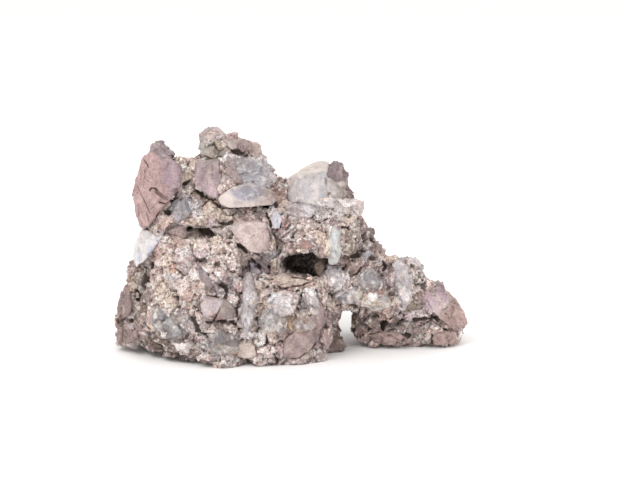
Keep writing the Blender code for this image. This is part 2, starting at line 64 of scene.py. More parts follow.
# Each shard: how far it reaches back, the corners of the face that it shows in mm, and its colour
PORPHYRY_SHARDS = {
    "left_shoulder": (34, [
        (-115, -12, 171), (-105, -16, 168), (-97, -22, 165), (-90, -28, 157), (-90, -32, 145),
        (-98, -36, 135), (-106, -36, 128), (-115, -34, 124), (-127, -20, 121), (-131, -12, 133),
        (-128, -10, 151), (-124, -8, 164), (-114, -33, 150), (-117, -30, 112), (-122, -23, 108),
        (-126, -15, 110), (-129, -8, 118),
    ], "mauve_pink"),
    "shoulder_knob": (22, [
        (-119, -6, 166), (-117, -4, 175), (-113, -4, 179), (-108, -4, 178), (-104, -6, 173),
        (-97, -6, 169), (-97, -14, 165), (-107, -14, 167),
    ], "mauve_grey"),
    "upper_tile": (26, [
        (-77, -22, 164), (-67, -20, 166), (-58, -22, 166), (-55, -30, 153), (-56, -34, 144),
        (-58, -36, 136), (-63, -36, 137), (-71, -34, 144), (-77, -30, 144), (-79, -26, 152),
    ], "mauve"),
    "crown_stone": (26, [
        (-76, -4, 172), (-76, 0, 182), (-73, 4, 186), (-68, 6, 188), (-62, 6, 189), (-58, 4, 187),
        (-51, 0, 181), (-51, -8, 176), (-54, -13, 170), (-62, -18, 166), (-68, -15, 166),
        (-75, -8, 170),
    ], "pale_grey"),
    "small_wedge": (18, [
        (-55, -24, 165), (-44, -24, 162), (-40, -28, 154), (-38, -34, 148), (-44, -34, 149),
        (-53, -32, 158),
    ], "mauve_brown"),
    "centre_tile": (28, [
        (-48, -44, 113), (-40, -42, 117), (-26, -38, 119), (-19, -38, 115), (-16, -38, 109),
        (-17, -44, 94), (-22, -47, 93), (-30, -50, 94), (-36, -50, 99), (-42, -48, 105),
    ], "pink_cream"),
    "boulder_chip": (20, [
        (-72, -65, 54), (-68, -64, 60), (-53, -65, 58), (-58, -70, 48), (-69, -69, 43),
    ], "lilac"),
    "chip_flank": (20, [
        (-53, -63, 58), (-42, -60, 47), (-44, -62, 42), (-60, -69, 42), (-58, -69, 48),
    ], "grey_brown"),
    "flank_slab": (22, [
        (-5, -57, 7), (-4, -57, 21), (3, -56, 28), (12, -57, 34), (19, -55, 42), (24, -50, 51),
        (29, -45, 44), (29, -44, 31), (25, -46, 19), (17, -51, 11), (6, -55, 6),
    ], "mauve_flank"),
    "tan_foot": (20, [
        (-43, -59, 10), (-41, -59, 18), (-33, -58, 20), (-27, -57, 17), (-28, -58, 8), (-36, -59, 7),
    ], "peach"),
    "slate_facet": (22, [
        (-34, -38, 84), (-28, -40, 82), (-22, -46, 76), (-26, -50, 72), (-33, -45, 74),
    ], "slate"),
    "slate_low": (20, [
        (-25, -36, 84), (-19, -36, 82), (-16, -38, 76), (-20, -44, 73), (-24, -42, 76),
    ], "dark_mauve"),
    "cave_ledge": (20, [
        (-14, -52, 72), (-4, -50, 74), (9, -47, 72), (19, -45, 69), (9, -49, 65), (-8, -53, 65),
    ], "tan"),
    "arch_wedge": (16, [
        (30, -20, 20), (36, -19, 17), (42, -17, 12), (48, -15, 7), (44, -16, 2), (30, -21, 1),
    ], "umber"),
    "lobe_left": (18, [
        (-52, -4, 180), (-45, 0, 183), (-38, -2, 179), (-39, -6, 175), (-48, -11, 173), (-52, -9, 176),
    ], "grey_brown"),
    "lobe_right": (18, [
        (-35, -1, 178), (-29, 3, 177), (-24, 2, 174), (-22, -3, 167), (-28, -13, 165), (-34, -9, 170),
    ], "lobe_tan"),
    "boulder_sliver": (16, [
        (-76, -60, 84), (-72, -58, 84), (-63, -60, 73), (-60, -63, 68), (-66, -65, 68),
        (-72, -64, 75),
    ], "mauve_grey"),
    "dark_crag": (20, [
        (31, -8, 158), (34, -4, 161), (40, 0, 161), (45, 2, 159), (49, 2, 153), (51, 0, 147),
        (49, -4, 141), (43, -11, 138), (37, -17, 142), (34, -18, 149),
    ], "dark_mauve"),
    "dark_chip": (18, [
        (43, -4, 137), (48, 0, 142), (52, 0, 138), (56, -2, 130), (50, -8, 129), (45, -10, 130),
    ], "dark_mauve"),
    "slope_crag": (22, [
        (57, -4, 109), (63, 0, 107), (68, 2, 102), (72, 0, 94), (64, -8, 94), (58, -10, 100),
    ], "dark_mauve"),
    "slope_chip": (18, [
        (68, -6, 91), (71, -2, 92), (76, 0, 91), (80, 0, 86), (74, -6, 84), (68, -10, 86),
    ], "mauve_brown"),
    "leg_cap": (34, [
        (114, -6, 51), (121, -2, 53), (128, 2, 53), (133, 2, 48), (138, -2, 42), (134, -8, 33),
        (127, -11, 30), (117, -12, 34), (111, -10, 45),
    ], "pink_mauve"),
    "leg_toe": (38, [
        (133, 4, 47), (142, 4, 38), (149, 4, 30), (152, 4, 21), (149, 2, 14), (137, -4, 16),
        (126, -10, 29), (128, -8, 40),
    ], "pink_brown"),
    "leg_toe_slab": (38, [
        (123, -8, 14), (132, -6, 15), (144, 0, 14), (149, 4, 13), (149, 4, 7), (144, 2, 2),
        (133, -4, 3), (125, -8, 4), (120, -8, 9),
    ], "pink_brown"),
    "leg_knob": (16, [
        (120, 0, 54), (123, 4, 56), (128, 6, 56), (132, 6, 53), (133, 4, 48), (126, -2, 49),
    ], "mauve_grey"),
    "leg_low_slab": (30, [
        (66, -8, 13), (76, -12, 17), (92, -14, 16), (96, -12, 8), (85, -8, 4), (67, -6, 5),
    ], "mauve_brown"),
    "left_flank_shard": (24, [
        (-146, -10, 48), (-140, -12, 57), (-135, -18, 55), (-132, -24, 45), (-136, -26, 33),
        (-144, -18, 27), (-148, -8, 35),
    ], "mauve_brown"),
    "base_left_shard": (26, [
        (-147, -14, 21), (-140, -20, 28), (-129, -28, 27), (-125, -34, 16), (-136, -28, 11),
        (-149, -12, 8),
    ], "mauve_brown"),
}

# Each rounder stone: middle, full size, turn about X, Y and Z in degrees, flat breaks, seed and colour
PORPHYRY_STONES = {
    "cave_brow": ((10, -37, 97), (18, 17, 12), (0, 0, 0), 12, 46, "rose"),
    "back_slab": ((-62, 39, 62), (64, 44, 58), (10, 32, 170), 8, 48, "mauve"),
    "back_tile": ((-66, 26, 134), (44, 36, 46), (-8, -42, 160), 7, 49, "mauve_pink"),
    "back_block": ((30, 30, 106), (52, 40, 44), (0, 58, 195), 8, 50, "mauve"),
    "back_leg_tile": ((98, 34, 40), (48, 32, 40), (12, 26, 190), 8, 51, "pink_mauve"),
    "back_shoulder_stone": ((-96, 28, 132), (38, 36, 44), (0, 70, 200), 8, 53, "mauve_grey"),
    "back_high_stone": ((-60, 20, 166), (32, 28, 26), (0, 40, 180), 8, 54, "pale_grey"),
    "back_cap_stone": ((24, 14, 134), (38, 34, 30), (0, -36, 180), 8, 55, "mauve_grey"),
    "back_waist_stone": ((-34, 48, 36), (44, 30, 44), (0, 50, 170), 8, 56, "pink_cream"),
    "side_stone": ((-121, 8, 58), (26, 32, 36), (0, 20, 250), 8, 57, "mauve_brown"),
    "side_high_stone": ((-102, 12, 102), (26, 34, 32), (0, 45, 250), 8, 58, "mauve_grey"),
    "back_bridge_stone": ((34, 44, 50), (36, 28, 34), (0, 34, 190), 8, 59, "mauve_brown"),
    "back_foot_stone": ((-112, 42, 26), (48, 42, 42), (0, 28, 205), 8, 52, "mauve"),
}

PORPHYRY_COLOURS = {
    "mauve_pink": (0.400, 0.272, 0.262),
    "mauve": (0.320, 0.245, 0.258),
    "mauve_grey": (0.268, 0.215, 0.225),
    "mauve_brown": (0.285, 0.205, 0.192),
    "dark_mauve": (0.195, 0.152, 0.158),
    "pale_grey": (0.440, 0.370, 0.365),
    "pink_cream": (0.490, 0.385, 0.370),
    "pink_mauve": (0.405, 0.305, 0.335),
    "pink_brown": (0.385, 0.277, 0.257),
    "lilac": (0.435, 0.375, 0.405),
    "grey_brown": (0.330, 0.275, 0.260),
    "mauve_flank": (0.335, 0.250, 0.245),
    "peach": (0.530, 0.425, 0.370),
    "slate": (0.200, 0.180, 0.200),
    "tan": (0.470, 0.370, 0.310),
    "lobe_tan": (0.380, 0.300, 0.270),
    "umber": (0.165, 0.125, 0.110),
    "rose": (0.330, 0.215, 0.200),
}

# How far out on a unit ball the breaks lie, and the broad face that a stone shows
SHARP_REACH, ROUND_REACH, SHOWN_FACE = (0.42, 0.85), (0.8, 0.97), 0.55
BREAK_SHAKE = 0.22
GOLDEN_ANGLE = math.pi * (3 - math.sqrt(5))
BALL_FACES = 90

# Directions along which a stone is measured: many for its full size, fewer for its proportions
SIZE_PROBES, SHAPE_PROBES = 2000, 400

# A shard behind its shown face: the rim's width and place, and the width of the far end
RIM_SPREAD, RIM_BACK, END_SPREAD = 1.07, 0.25, 0.75


def golden_directions(count, start=0.0):
    """Unit vectors spread over a ball: equal steps of height, each turned on by the golden angle."""
    turns = np.arange(count)
    height = 1 - 2 * (turns + 0.5) / count
    ring = np.sqrt(1 - height**2)
    angle = turns * GOLDEN_ANGLE + start
    return np.stack([ring * np.cos(angle), ring * np.sin(angle), height], axis=1)


def shard_breaks(depth, corners):
    """The breaks round a shard, as (middle, outward normals, distances): the planes of the hull of its
    shown face, a wider rim just behind that, and a narrower end deep in the rock."""
    face = np.array(corners, float)
    centre = face.mean(axis=0)
    hull = bmesh.new()
    for spread, back in ((1, 0), (RIM_SPREAD, RIM_BACK * depth), (END_SPREAD, depth)):
        for corner in centre + (face - centre) * spread + (0, back, 0):
            hull.verts.new(Vector(corner))
    bmesh.ops.convex_hull(hull, input=hull.verts)
    bmesh.ops.recalc_face_normals(hull, faces=hull.faces)
    middle = centre + (0, depth / 2, 0)
    normals = np.array([face.normal for face in hull.faces])
    places = np.array([face.verts[0].co for face in hull.faces])
    hull.free()
    return middle, normals, ((places - middle) * normals).sum(axis=1)


def stone_breaks(middle, size, turn, count, seed, reach, shown_face):
    """The breaks round a stone, as (middle, outward normals, distances): a ball with flat breaks cut off
    it, stretched to its full size and turned. The ball itself is many small faces that touch it."""
    rng = np.random.default_rng(seed)
    normals = golden_directions(count, rng.uniform(0, 2 * math.pi))
    normals += rng.normal(0, BREAK_SHAKE, normals.shape)
    normals /= np.linalg.norm(normals, axis=1, keepdims=True)
    reaches = rng.uniform(*reach, count)
    if shown_face:
        normals = np.vstack([normals, (0, -1, 0)])
        reaches = np.append(reaches, shown_face)
    normals = np.vstack([normals, golden_directions(BALL_FACES)])
    reaches = np.append(reaches, np.ones(BALL_FACES))
    probe = golden_directions(SIZE_PROBES)
    ends = probe / (probe @ normals.T / reaches).max(axis=1, keepdims=True)
    low, high = ends.min(axis=0), ends.max(axis=0)
    stretch = np.array(size) / (high - low)
    turned = np.array(Euler([math.radians(angle) for angle in turn]).to_matrix())
    reaches = reaches - normals @ ((low + high) / 2)
    normals = normals / stretch
    length = np.linalg.norm(normals, axis=1)
    return np.array(middle, float), (normals / length[:, None]) @ turned.T, reaches / length


# The distance to a stone is worked out within so many times its reach and so many mm; past that it is FAR
NEAR_REACHES, NEAR_MARGIN, FAR = 1.5, 8, 99.0


def depth_in(points, breaks):
    """How far outside a stone each point is, in mm, below zero inside: the largest distance beyond any
    break."""
    middle, normals, reaches = breaks
    depth = np.full(len(points), FAR)
    close = ((points - middle) ** 2).sum(axis=1) < (NEAR_REACHES * reaches.max() + NEAR_MARGIN) ** 2
    depth[close] = ((points[close] - middle) @ normals.T - reaches).max(axis=1)
    return depth


# What scatters the numbers of lattice cells: three large primes, steps between seeds, and a fold of 32 bits
CELL_PRIMES, SEED_STEP, DRAW_STEP = (73856093, 19349663, 83492791), 31, 2654435761
FOLD, HALF_BITS, ALL_BITS = 0x45D9F3B, 16, 0xFFFFFFFF


def chance(cell, seed, count=1):
    """Numbers from 0 to 1 for each whole-number cell: its places times large primes, folded twice."""
    key = np.bitwise_xor.reduce(cell * CELL_PRIMES, axis=-1)
    draws = []
    for draw in range(count):
        mixed = (key + (seed * SEED_STEP + draw) * DRAW_STEP) & ALL_BITS
        for _ in range(2):
            mixed = ((mixed ^ (mixed >> HALF_BITS)) * FOLD) & ALL_BITS
        draws.append((mixed ^ (mixed >> HALF_BITS)) / ALL_BITS)
    return np.stack(draws, axis=-1)


def swell(points, size, seed):
    """Smooth unevenness from -1 to 1: random heights on a cubic lattice of that size in mm, blended by
    3t^2 - 2t^3."""
    place = points / size
    cell = np.floor(place).astype(np.int64)
    part = place - cell
    part = part * part * (3 - 2 * part)
    total = np.zeros(len(points))
    for corner in np.ndindex(2, 2, 2):
        weight = np.where(corner, part, 1 - part).prod(axis=1)
        total += weight * chance(cell + corner, seed)[:, 0]
    return 2 * total - 1


def rough(points, size, seed):
    """Unevenness at three sizes: swell, plus half of it at half the size, and so on."""
    return sum(swell(points, size / 2**layer, seed + layer) / 2**layer for layer in range(3))


# A break is raised by up to half this share of its size. Its own draws have seeds apart from its place's.
BREAK_RAISE, OWN_DRAWS = 0.3, 50


def broken(points, size, seed):
    """Breaks of about that size in mm round points scattered one to a lattice cell. For each point: the
    height in mm of its own break, which is flat, tilted and raised at random; how far it is from the
    break's rim, in cells; and a random number that the whole break shares."""
    place = points / size
    cell = np.floor(place).astype(np.int64)
    near = np.full(len(points), FAR)
    second = near.copy()
    away = np.zeros_like(place)
    owner = cell.copy()
    for step in np.ndindex(3, 3, 3):
        other = cell + step - 1
        offset = place - other - chance(other, seed, 3)
        gap = np.sqrt((offset**2).sum(axis=1))
        closer = gap < near
        second = np.where(closer, near, np.minimum(second, gap))
        near = np.where(closer, gap, near)
        away[closer] = offset[closer]
        owner[closer] = other[closer]
    draws = chance(owner, seed + OWN_DRAWS, 5)
    tilt, raised, pick = draws[:, :3] - 0.5, draws[:, 3] - 0.5, draws[:, 4]
    return size * ((away * tilt).sum(axis=1) + BREAK_RAISE * raised), second - near, pick


# The power of the soft maximum, the fewest rows of points on a stone, and the least pull of its breaks
EDGE_SHARPNESS, LEAST_ROWS, LEAST_PULL = 70, 10, 1e-6


def stone_skin(breaks, spacing, relief, uneven=1.0):
    """A stone's surface as (points, triangles, how near each point is to an edge), in mm.

    Each point lies along a direction d of longitude u and latitude v, at the distance where a soft maximum
    of the breaks, (sum of (d.n / reach)^p)^(1/p), is one; relief(points, edge) then moves it along d.
    """
    middle, normals, reaches = breaks
    probe = golden_directions(SHAPE_PROBES)
    ends = probe / (probe @ normals.T / reaches).max(axis=1, keepdims=True)
    half = np.abs(ends).max(axis=0)
    rows = int(max(LEAST_ROWS, math.pi * np.sort(half)[1:].mean() / spacing))
    columns = 2 * rows
    v = np.linspace(0, math.pi, rows + 1)[1:-1, None]
    u = np.linspace(0, 2 * math.pi, columns, endpoint=False)[None, :]
    d = np.stack([np.sin(v) * np.cos(u), np.sin(v) * np.sin(u), np.cos(v) + 0 * u], axis=-1).reshape(-1, 3)
    d = np.vstack([d, (0, 0, 1), (0, 0, -1)]) * half
    d /= np.linalg.norm(d, axis=1, keepdims=True)
    pull = np.clip(d @ normals.T / reaches, LEAST_PULL, None)
    most = pull.max(axis=1, keepdims=True)
    sharing = ((pull / most) ** EDGE_SHARPNESS).sum(axis=1)
    points = middle + d / most / sharing[:, None] ** (1 / EDGE_SHARPNESS)
    edge = np.clip(sharing - 1, 0, 1)
    points += d * uneven * relief(points, edge)[:, None]

    ring = np.arange(columns)
    after = (ring + 1) % columns
    start = np.arange(rows - 2)[:, None] * columns
    a, b = (start + ring).ravel(), (start + after).ravel()
    c, e = a + columns, b + columns
    north, south = len(points) - 2, len(points) - 1
    last = (rows - 2) * columns
    triangles = np.vstack([
        np.stack([a, c, e], axis=1), np.stack([a, e, b], axis=1),
        np.stack([np.full(columns, north), ring, after], axis=1),
        np.stack([np.full(columns, south), last + after, last + ring], axis=1),
    ])
    return points, triangles, edge


# Hollows of the rock that no stone may fill: middle, full size, turn, flat breaks and seed
HOLLOWS = {
    "front_cave": ((9, -24, 79), (34, 74, 21), (-10, 3, 0), 16, 91),
    "dark_pit": ((-78, -34, 110), (36, 30, 12), (-16, 2, 0), 14, 92),
    "leg_crevice": ((100, -26, 24), (66, 34, 8), (-8, 4, 0), 16, 96),
    "fin_crease": ((-41, -62, 52), (9, 20, 62), (0, 4, 0), 14, 97),
    "tile_crease": ((-10, -40, 96), (8, 26, 44), (0, 4, 0), 12, 98),
    "left_flank_pit": ((-126, -24, 62), (12, 26, 40), (0, 24, 30), 12, 99),
}
HOLLOWS = {name: stone_breaks(*row, ROUND_REACH, None) for name, row in HOLLOWS.items()}

# The farthest that a stone's point is drawn back out of a hollow, in mm
MOST_DRAWN_BACK = 5


def draw_back(points, middle):
    """Pulls points that lie in a hollow back towards their stone's middle, by as much as they are in."""
    for hollow in HOLLOWS.values():
        inside = np.clip(-depth_in(points, hollow), 0, MOST_DRAWN_BACK)
        towards = middle - points
        points = points + towards / np.linalg.norm(towards, axis=1, keepdims=True) * inside[:, None]
    return points


# The shares of light that stone gives back
DARKEST, PALEST = 0.01, 0.9


def made_piece(name, points, triangles, finish, colours, marks, smooth=True):
    """A shown piece of the rock from points in mm, with its colours and its marks, such as how glossy it
    is, as arrays or as one number each."""
    places = np.clip(points * MM, cad_low, cad_high)
    mesh = bpy.data.meshes.new(name)
    mesh.from_pydata(places.tolist(), [], triangles.tolist())
    tint = mesh.attributes.new("tint", "FLOAT_COLOR", "POINT")
    shades = np.clip(colours, DARKEST, PALEST)
    tint.data.foreach_set("color", np.hstack([shades, np.ones((len(points), 1))]).ravel())
    for mark, values in marks.items():
        layer = mesh.attributes.new(mark, "FLOAT", "POINT")
        layer.data.foreach_set("value", np.full(len(points), values, float))
    mesh.polygons.foreach_set("use_smooth", np.full(len(mesh.polygons), smooth))
    mesh.materials.append(finish.material)
    mesh.update()
    piece = bpy.data.objects.new(name, mesh)
    bpy.context.scene.collection.objects.link(piece)
    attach(piece, "root")
    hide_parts("rock")


def joined(skins):
    """Several (points, triangles, edge) as one, and the number of each point's own skin."""
    counts = [len(points) for points, _, _ in skins]
    starts = np.cumsum([0] + counts[:-1])
    points = np.vstack([skin[0] for skin in skins])
    triangles = np.vstack([skin[1] + start for skin, start in zip(skins, starts)])
    edge = np.concatenate([skin[2] for skin in skins])
    return points, triangles, edge, np.repeat(np.arange(len(skins)), counts)


def drawn(colours, other, share):
    """Colours drawn to other ones by a share at each point."""
    return colours + (np.asarray(other) - colours) * share[:, None]


# Edges are this many times lighter than the faces, up to a colour: freshly chipped stone, and a painted
# highlight
CHIP_AND_HIGHLIGHT_GAIN, CHIP_AND_HIGHLIGHT_COLOUR = 1.7, (0.66, 0.58, 0.54)


def chipped_and_highlit(colours, points, edge, strength):
    """Colours drawn towards a paler colour along the edges, here and there: chipped stone, and a painted
    highlight.
    """
    # The paler colour of chipped stone and of a painted highlight
    chipped = np.minimum(colours * CHIP_AND_HIGHLIGHT_GAIN, CHIP_AND_HIGHLIGHT_COLOUR)
    here = np.clip(0.5 + 1.2 * swell(points, 7, 13), 0, 1)
    return drawn(colours, chipped, strength * np.clip(1.6 * edge, 0, 1) * here)


def stained(colours, points, stains, strength, ragged=0.0):
    """Colours drawn to each stain's near its middle, by exp(-(distance / radius)^2), with a ragged rim."""
    for middle, radius, stain in stains:
        near = np.exp(ragged - (((points - middle) / radius) ** 2).sum(axis=1))
        colours = drawn(colours, stain, np.clip(strength * near, 0, 1))
    return colours


class Wire:
    """A socket's value in a finish. Arithmetic on wires adds the Math nodes that it needs."""

    def __init__(self, finish, socket):
        self.finish = finish
        self.socket = socket

    def _with(self, operation, first, second):
        return self.finish.node("ShaderNodeMath", {"operation": operation}, {0: first, 1: second})

    def __add__(self, other):
        return self._with("ADD", self, other)

    def __sub__(self, other):
        return self._with("SUBTRACT", self, other)

    def __rsub__(self, other):
        return self._with("SUBTRACT", other, self)

    def __mul__(self, other):
        return self._with("MULTIPLY", self, other)

    __radd__ = __add__
    __rmul__ = __mul__

    def rise(self, low, high):
        """0 up to low, 1 from high on, and a smooth step between."""
        settings = {"interpolation_type": "SMOOTHSTEP"}
        inputs = {"Value": self, "From Min": low, "From Max": high}
        return self.finish.node("ShaderNodeMapRange", settings, inputs)


class Finish:
    """A material, with one method that adds any node."""

    def __init__(self, name, **constants):
        self.material = bpy.data.materials.new(name)
        self.material.use_nodes = True
        self.tree = self.material.node_tree
        self.shader = self.tree.nodes["Principled BSDF"]
        for socket in self.shader.inputs:
            name = socket.name.lower().replace(" ", "_")
            if name in constants:
                socket.default_value = constants[name]
        self.place = self.node("ShaderNodeTexCoord", output="Object")

    def node(self, kind, settings=None, inputs=None, output=0):
        """A new node with its settings and its inputs, as a wire from one of its outputs."""
        made = self.tree.nodes.new(kind)
        for name, value in (settings or {}).items():
            setattr(made, name, value)
        for name, value in (inputs or {}).items():
            self.feed(made.inputs[name], value)
        return Wire(self, made.outputs[output])

    def feed(self, socket, value):
        """Links a wire to a socket, or sets the socket's constant."""
        if isinstance(value, Wire):
            self.tree.links.new(value.socket, socket)
        else:
            socket.default_value = value

    def mix(self, factor, first, second):
        """Colour first turned by the factor into the second, which is a constant."""
        inputs = {0: factor, 6: first, 7: (*second, 1)}
        return self.node("ShaderNodeMix", {"data_type": "RGBA"}, inputs, output=2)

    def grain(self, size, detail=4, roughness=0.6, distortion=0.0):
        """Cloudy noise with blotches of about that size in metres."""
        inputs = {"Detail": detail, "Roughness": roughness, "Distortion": distortion}
        return self.node("ShaderNodeTexNoise", None, {"Vector": self.place, "Scale": 1 / size} | inputs)

    def ridged(self, size):
        """Sharp crests, 1 along the middle height of cloudy noise and falling to 0 away from it."""
        noise = self.grain(size, detail=5, roughness=0.65)
        away = self.node("ShaderNodeMath", {"operation": "ABSOLUTE"}, {0: noise - 0.5})
        return 1 - 5 * away

    def flecks(self, size, output="Distance", randomness=1.0, vector=None):
        """Cells of about that size in metres: the distance from each one's middle, or a colour for each."""
        inputs = {"Vector": vector or self.place, "Scale": 1 / size, "Randomness": randomness}
        return self.node("ShaderNodeTexVoronoi", None, inputs, output)

    def mark(self, name, output="Fac"):
        """A value or a colour that the mesh holds at each point."""
        return self.node("ShaderNodeAttribute", {"attribute_name": name}, output=output)

    def scaled(self, colour, wire):
        """A colour made lighter or darker by a number."""
        grey = self.node("ShaderNodeCombineXYZ", None, {0: wire, 1: wire, 2: wire})
        return self.node("ShaderNodeVectorMath", {"operation": "MULTIPLY"}, {0: colour, 1: grey})

    def dent(self, height, depth, strength):
        """A Bump node: the height, from 0 to 1, as a relief of that depth in metres."""
        inputs = {"Height": height, "Distance": depth, "Strength": strength}
        return self.node("ShaderNodeBump", None, inputs)

    def wear(self, colour, roughness, normal):
        """Feeds the shader with what changes over the surface."""
        for name, value in (("Base Color", colour), ("Roughness", roughness), ("Normal", normal)):
            self.feed(self.shader.inputs[name], value)


def bent_place(finish, size, amount):
    """Object coordinates pushed about by noise, so that cracks and veins wander."""
    inputs = {"Vector": finish.place, "Scale": 1 / size}
    noise = finish.node("ShaderNodeTexNoise", None, inputs, output="Color")
    shifted = finish.node("ShaderNodeVectorMath", {"operation": "SCALE"}, {0: noise, "Scale": amount})
    return finish.node("ShaderNodeVectorMath", {"operation": "ADD"}, {0: finish.place, 1: shifted})


# The soil in all hollows and cracks, and painted shade in the groundmass's hollows, crevices and grooves
SOIL_AND_SHADE = (0.050, 0.034, 0.026)

# Porphyry is cloudy at 14 mm, sugary at 1.4 mm, dusted in patches of 9 mm, and has dark specks 3.6 mm apart
porphyry = Finish("porphyry", specular_ior_level=0.35)
tint = porphyry.mark("tint", "Color")
cloud = porphyry.grain(0.014, detail=6, roughness=0.66)
colour = porphyry.scaled(tint, 0.66 + 0.68 * cloud)
sugar = porphyry.grain(0.0014, detail=3, roughness=0.7)
colour = porphyry.scaled(colour, 0.77 + 0.46 * sugar.rise(0.32, 0.68))
dust = porphyry.grain(0.009, detail=5, roughness=0.7).rise(0.50, 0.64)
colour = porphyry.mix(0.45 * dust, colour, (0.60, 0.48, 0.43))
specks = 1 - porphyry.flecks(0.0036, randomness=0.9).rise(0.08, 0.16)
specks = specks * porphyry.grain(0.008).rise(0.46, 0.56)
colour = porphyry.mix(0.75 * specks, colour, (0.12, 0.08, 0.07))
colour = porphyry.mix(porphyry.mark("hollow").rise(0.05, 0.95) * 0.95, colour, SOIL_AND_SHADE)
ridges = porphyry.ridged(0.004)
height = 0.45 * sugar + 0.5 * ridges + 0.3 * cloud - 0.25 * specks
porphyry.wear(colour, 0.60 + 0.25 * cloud, porphyry.dent(height, 0.0011, 0.85))


# How uneven a stone is, as a share of the usual: the broad clean faces less, all others fully
UNEVEN = {
    "left_shoulder": 0.5, "upper_tile": 0.45, "centre_tile": 0.5, "leg_cap": 0.7, "leg_toe": 0.8,
    "boulder_chip": 0.4, "small_wedge": 0.7, "chip_flank": 0.4, "flank_slab": 0.6, "tan_foot": 0.6,
    "blue_core_sliver": 0.3, "banded_block": 0.35, "banded_side": 0.5, "left_pod": 0.5, "pale_lens": 0.5,
    "green_pod": 0.5, "cream_fin": 0.5, "lobe_left": 0.6, "lobe_right": 0.6,
}


def scooped(points, edge):
    """Relief of a broken stone: flat breaks of two sizes, uneven faces, chipped edges and a fine grain."""
    breaks = 0.55 * broken(points, 13, 5)[0] + 0.5 * broken(points, 5.5, 6)[0] + 0.9 * swell(points, 11, 9)
    chips = edge * np.clip(swell(points, 4.5, 8) + 0.35, 0, 1)
    return breaks - 2.2 * chips + 0.3 * rough(points, 2.6, 7) - 0.5


# Open slots and cracks in the broad stones: places along each in X and Z, width and depth in mm, darkness
SLOTS = [
    ([(-121.3, 165.6), (-116.5, 161.1)], 0.7, 1.2, 0.8),
    ([(-115.0, 156.1), (-109.0, 148.6)], 1.2, 0.8, 0.35),
    ([(-114.5, 142.9), (-113.4, 144.6), (-111.1, 144.9), (-107.9, 143.2)], 0.75, 2.2, 1.0),
    ([(-109.1, 142.3), (-99.8, 136.0)], 1.8, 2.2, 0.55),
    ([(-109.6, 141.0), (-101.0, 134.9)], 0.5, 0.8, 0.9),
    ([(-106.5, 133.1), (-103.0, 132.2), (-100.7, 132.0)], 0.8, 2.0, 1.0),
    ([(-126.8, 143.5), (-120.2, 133.9), (-116.9, 127.8), (-114.5, 123.8)], 0.55, 1.0, 0.9),
    ([(-109.3, 132.0), (-113.6, 127.3)], 0.4, 0.6, 0.7),
    ([(-123.7, 154.0), (-123.6, 154.0)], 0.6, 0.6, 1.0),
    ([(-120.4, 151.9), (-120.3, 151.9)], 0.5, 0.6, 1.0),
    ([(-118.8, 150.7), (-118.7, 150.7)], 0.5, 0.6, 1.0),
    ([(-116.4, 149.8), (-116.3, 149.8)], 0.7, 0.6, 1.0), ([(-90.0, 150.0), (-94.0, 141.0)], 0.8, 0.6, 0.25),
    ([(-118.0, 124.0), (-116.0, 117.0)], 0.6, 0.8, 0.8), ([(-42.0, 107.0), (-31.0, 98.0)], 0.5, 0.6, 0.35),
    ([(-24.0, 116.0), (-26.0, 104.0)], 0.5, 0.5, 0.3), ([(-64.0, 164.0), (-63.0, 152.0)], 0.5, 0.5, 0.4),
    ([(-72.0, 160.0), (-66.0, 146.0)], 0.4, 0.5, 0.3),
    ([(130.0, 34.5), (137.0, 38.0), (145.0, 40.7)], 0.9, 1.2, 0.9),
    ([(132.5, 31.0), (140.5, 26.8)], 0.9, 1.2, 0.9), ([(134.0, 42.0), (141.0, 35.5)], 0.7, 0.9, 0.7),
    ([(128.5, 48.0), (130.0, 39.0), (127.5, 31.0)], 0.9, 1.0, 0.35),
    ([(131.0, 16.4), (139.5, 15.5), (149.0, 17.3)], 1.1, 2.0, 1.0),
    ([(123.0, 47.0), (129.0, 38.0)], 0.5, 0.6, 0.4), ([(117.0, 42.0), (125.0, 34.0)], 0.5, 0.6, 0.35),
]

# Slots are only in the stones' front, at less than this Y. Their rims waver by a share of their width.
SLOT_FRONT, SLOT_WAVER = -3, 0.25


def slotted(points):
    """How deep a slot goes at each point, in mm, and how dark it is, by the distance from its line."""
    seen = points[:, [0, 2]]
    waver = SLOT_WAVER * swell(points, 2.0, 3)
    depth, dark = np.zeros(len(points)), np.zeros(len(points))
    for line, width, deep, black in SLOTS:
        for start, end in zip(line[:-1], line[1:]):
            along = np.subtract(end, start)
            part = np.clip((seen - start) @ along / (along @ along), 0, 1)
            gap = np.linalg.norm(seen - start - part[:, None] * along, axis=1)
            cut = 1 - np.clip(gap / width + waver, 0, 1) ** 2
            depth, dark = np.maximum(depth, deep * cut), np.maximum(dark, black * cut)
    front = points[:, 1] < SLOT_FRONT
    return depth * front, dark * front


# The left shoulder's face turns from warm pink to purple-grey to the right of a ridge, here in X and Z
SHOULDER_RIDGE, PURPLE = [(-111, 174), (-105, 145), (-97, 128)], (0.300, 0.230, 0.258)
RIDGE_WIDTH, PURPLE_STRENGTH = 5, 0.8


def forms_and_shades(shards, stones, reach, shown_face, colours):
    """The breaks round each shard and stone of two tables, and the colour of each, by name."""
    forms = {name: shard_breaks(depth, corners) for name, (depth, corners, _) in shards.items()}
    forms |= {name: stone_breaks(*row[:5], reach, shown_face) for name, row in stones.items()}
    return forms, {name: colours[row[-1]] for name, row in (shards | stones).items()}


porphyry_forms, porphyry_shades = forms_and_shades(
    PORPHYRY_SHARDS, PORPHYRY_STONES, SHARP_REACH, SHOWN_FACE, PORPHYRY_COLOURS
)

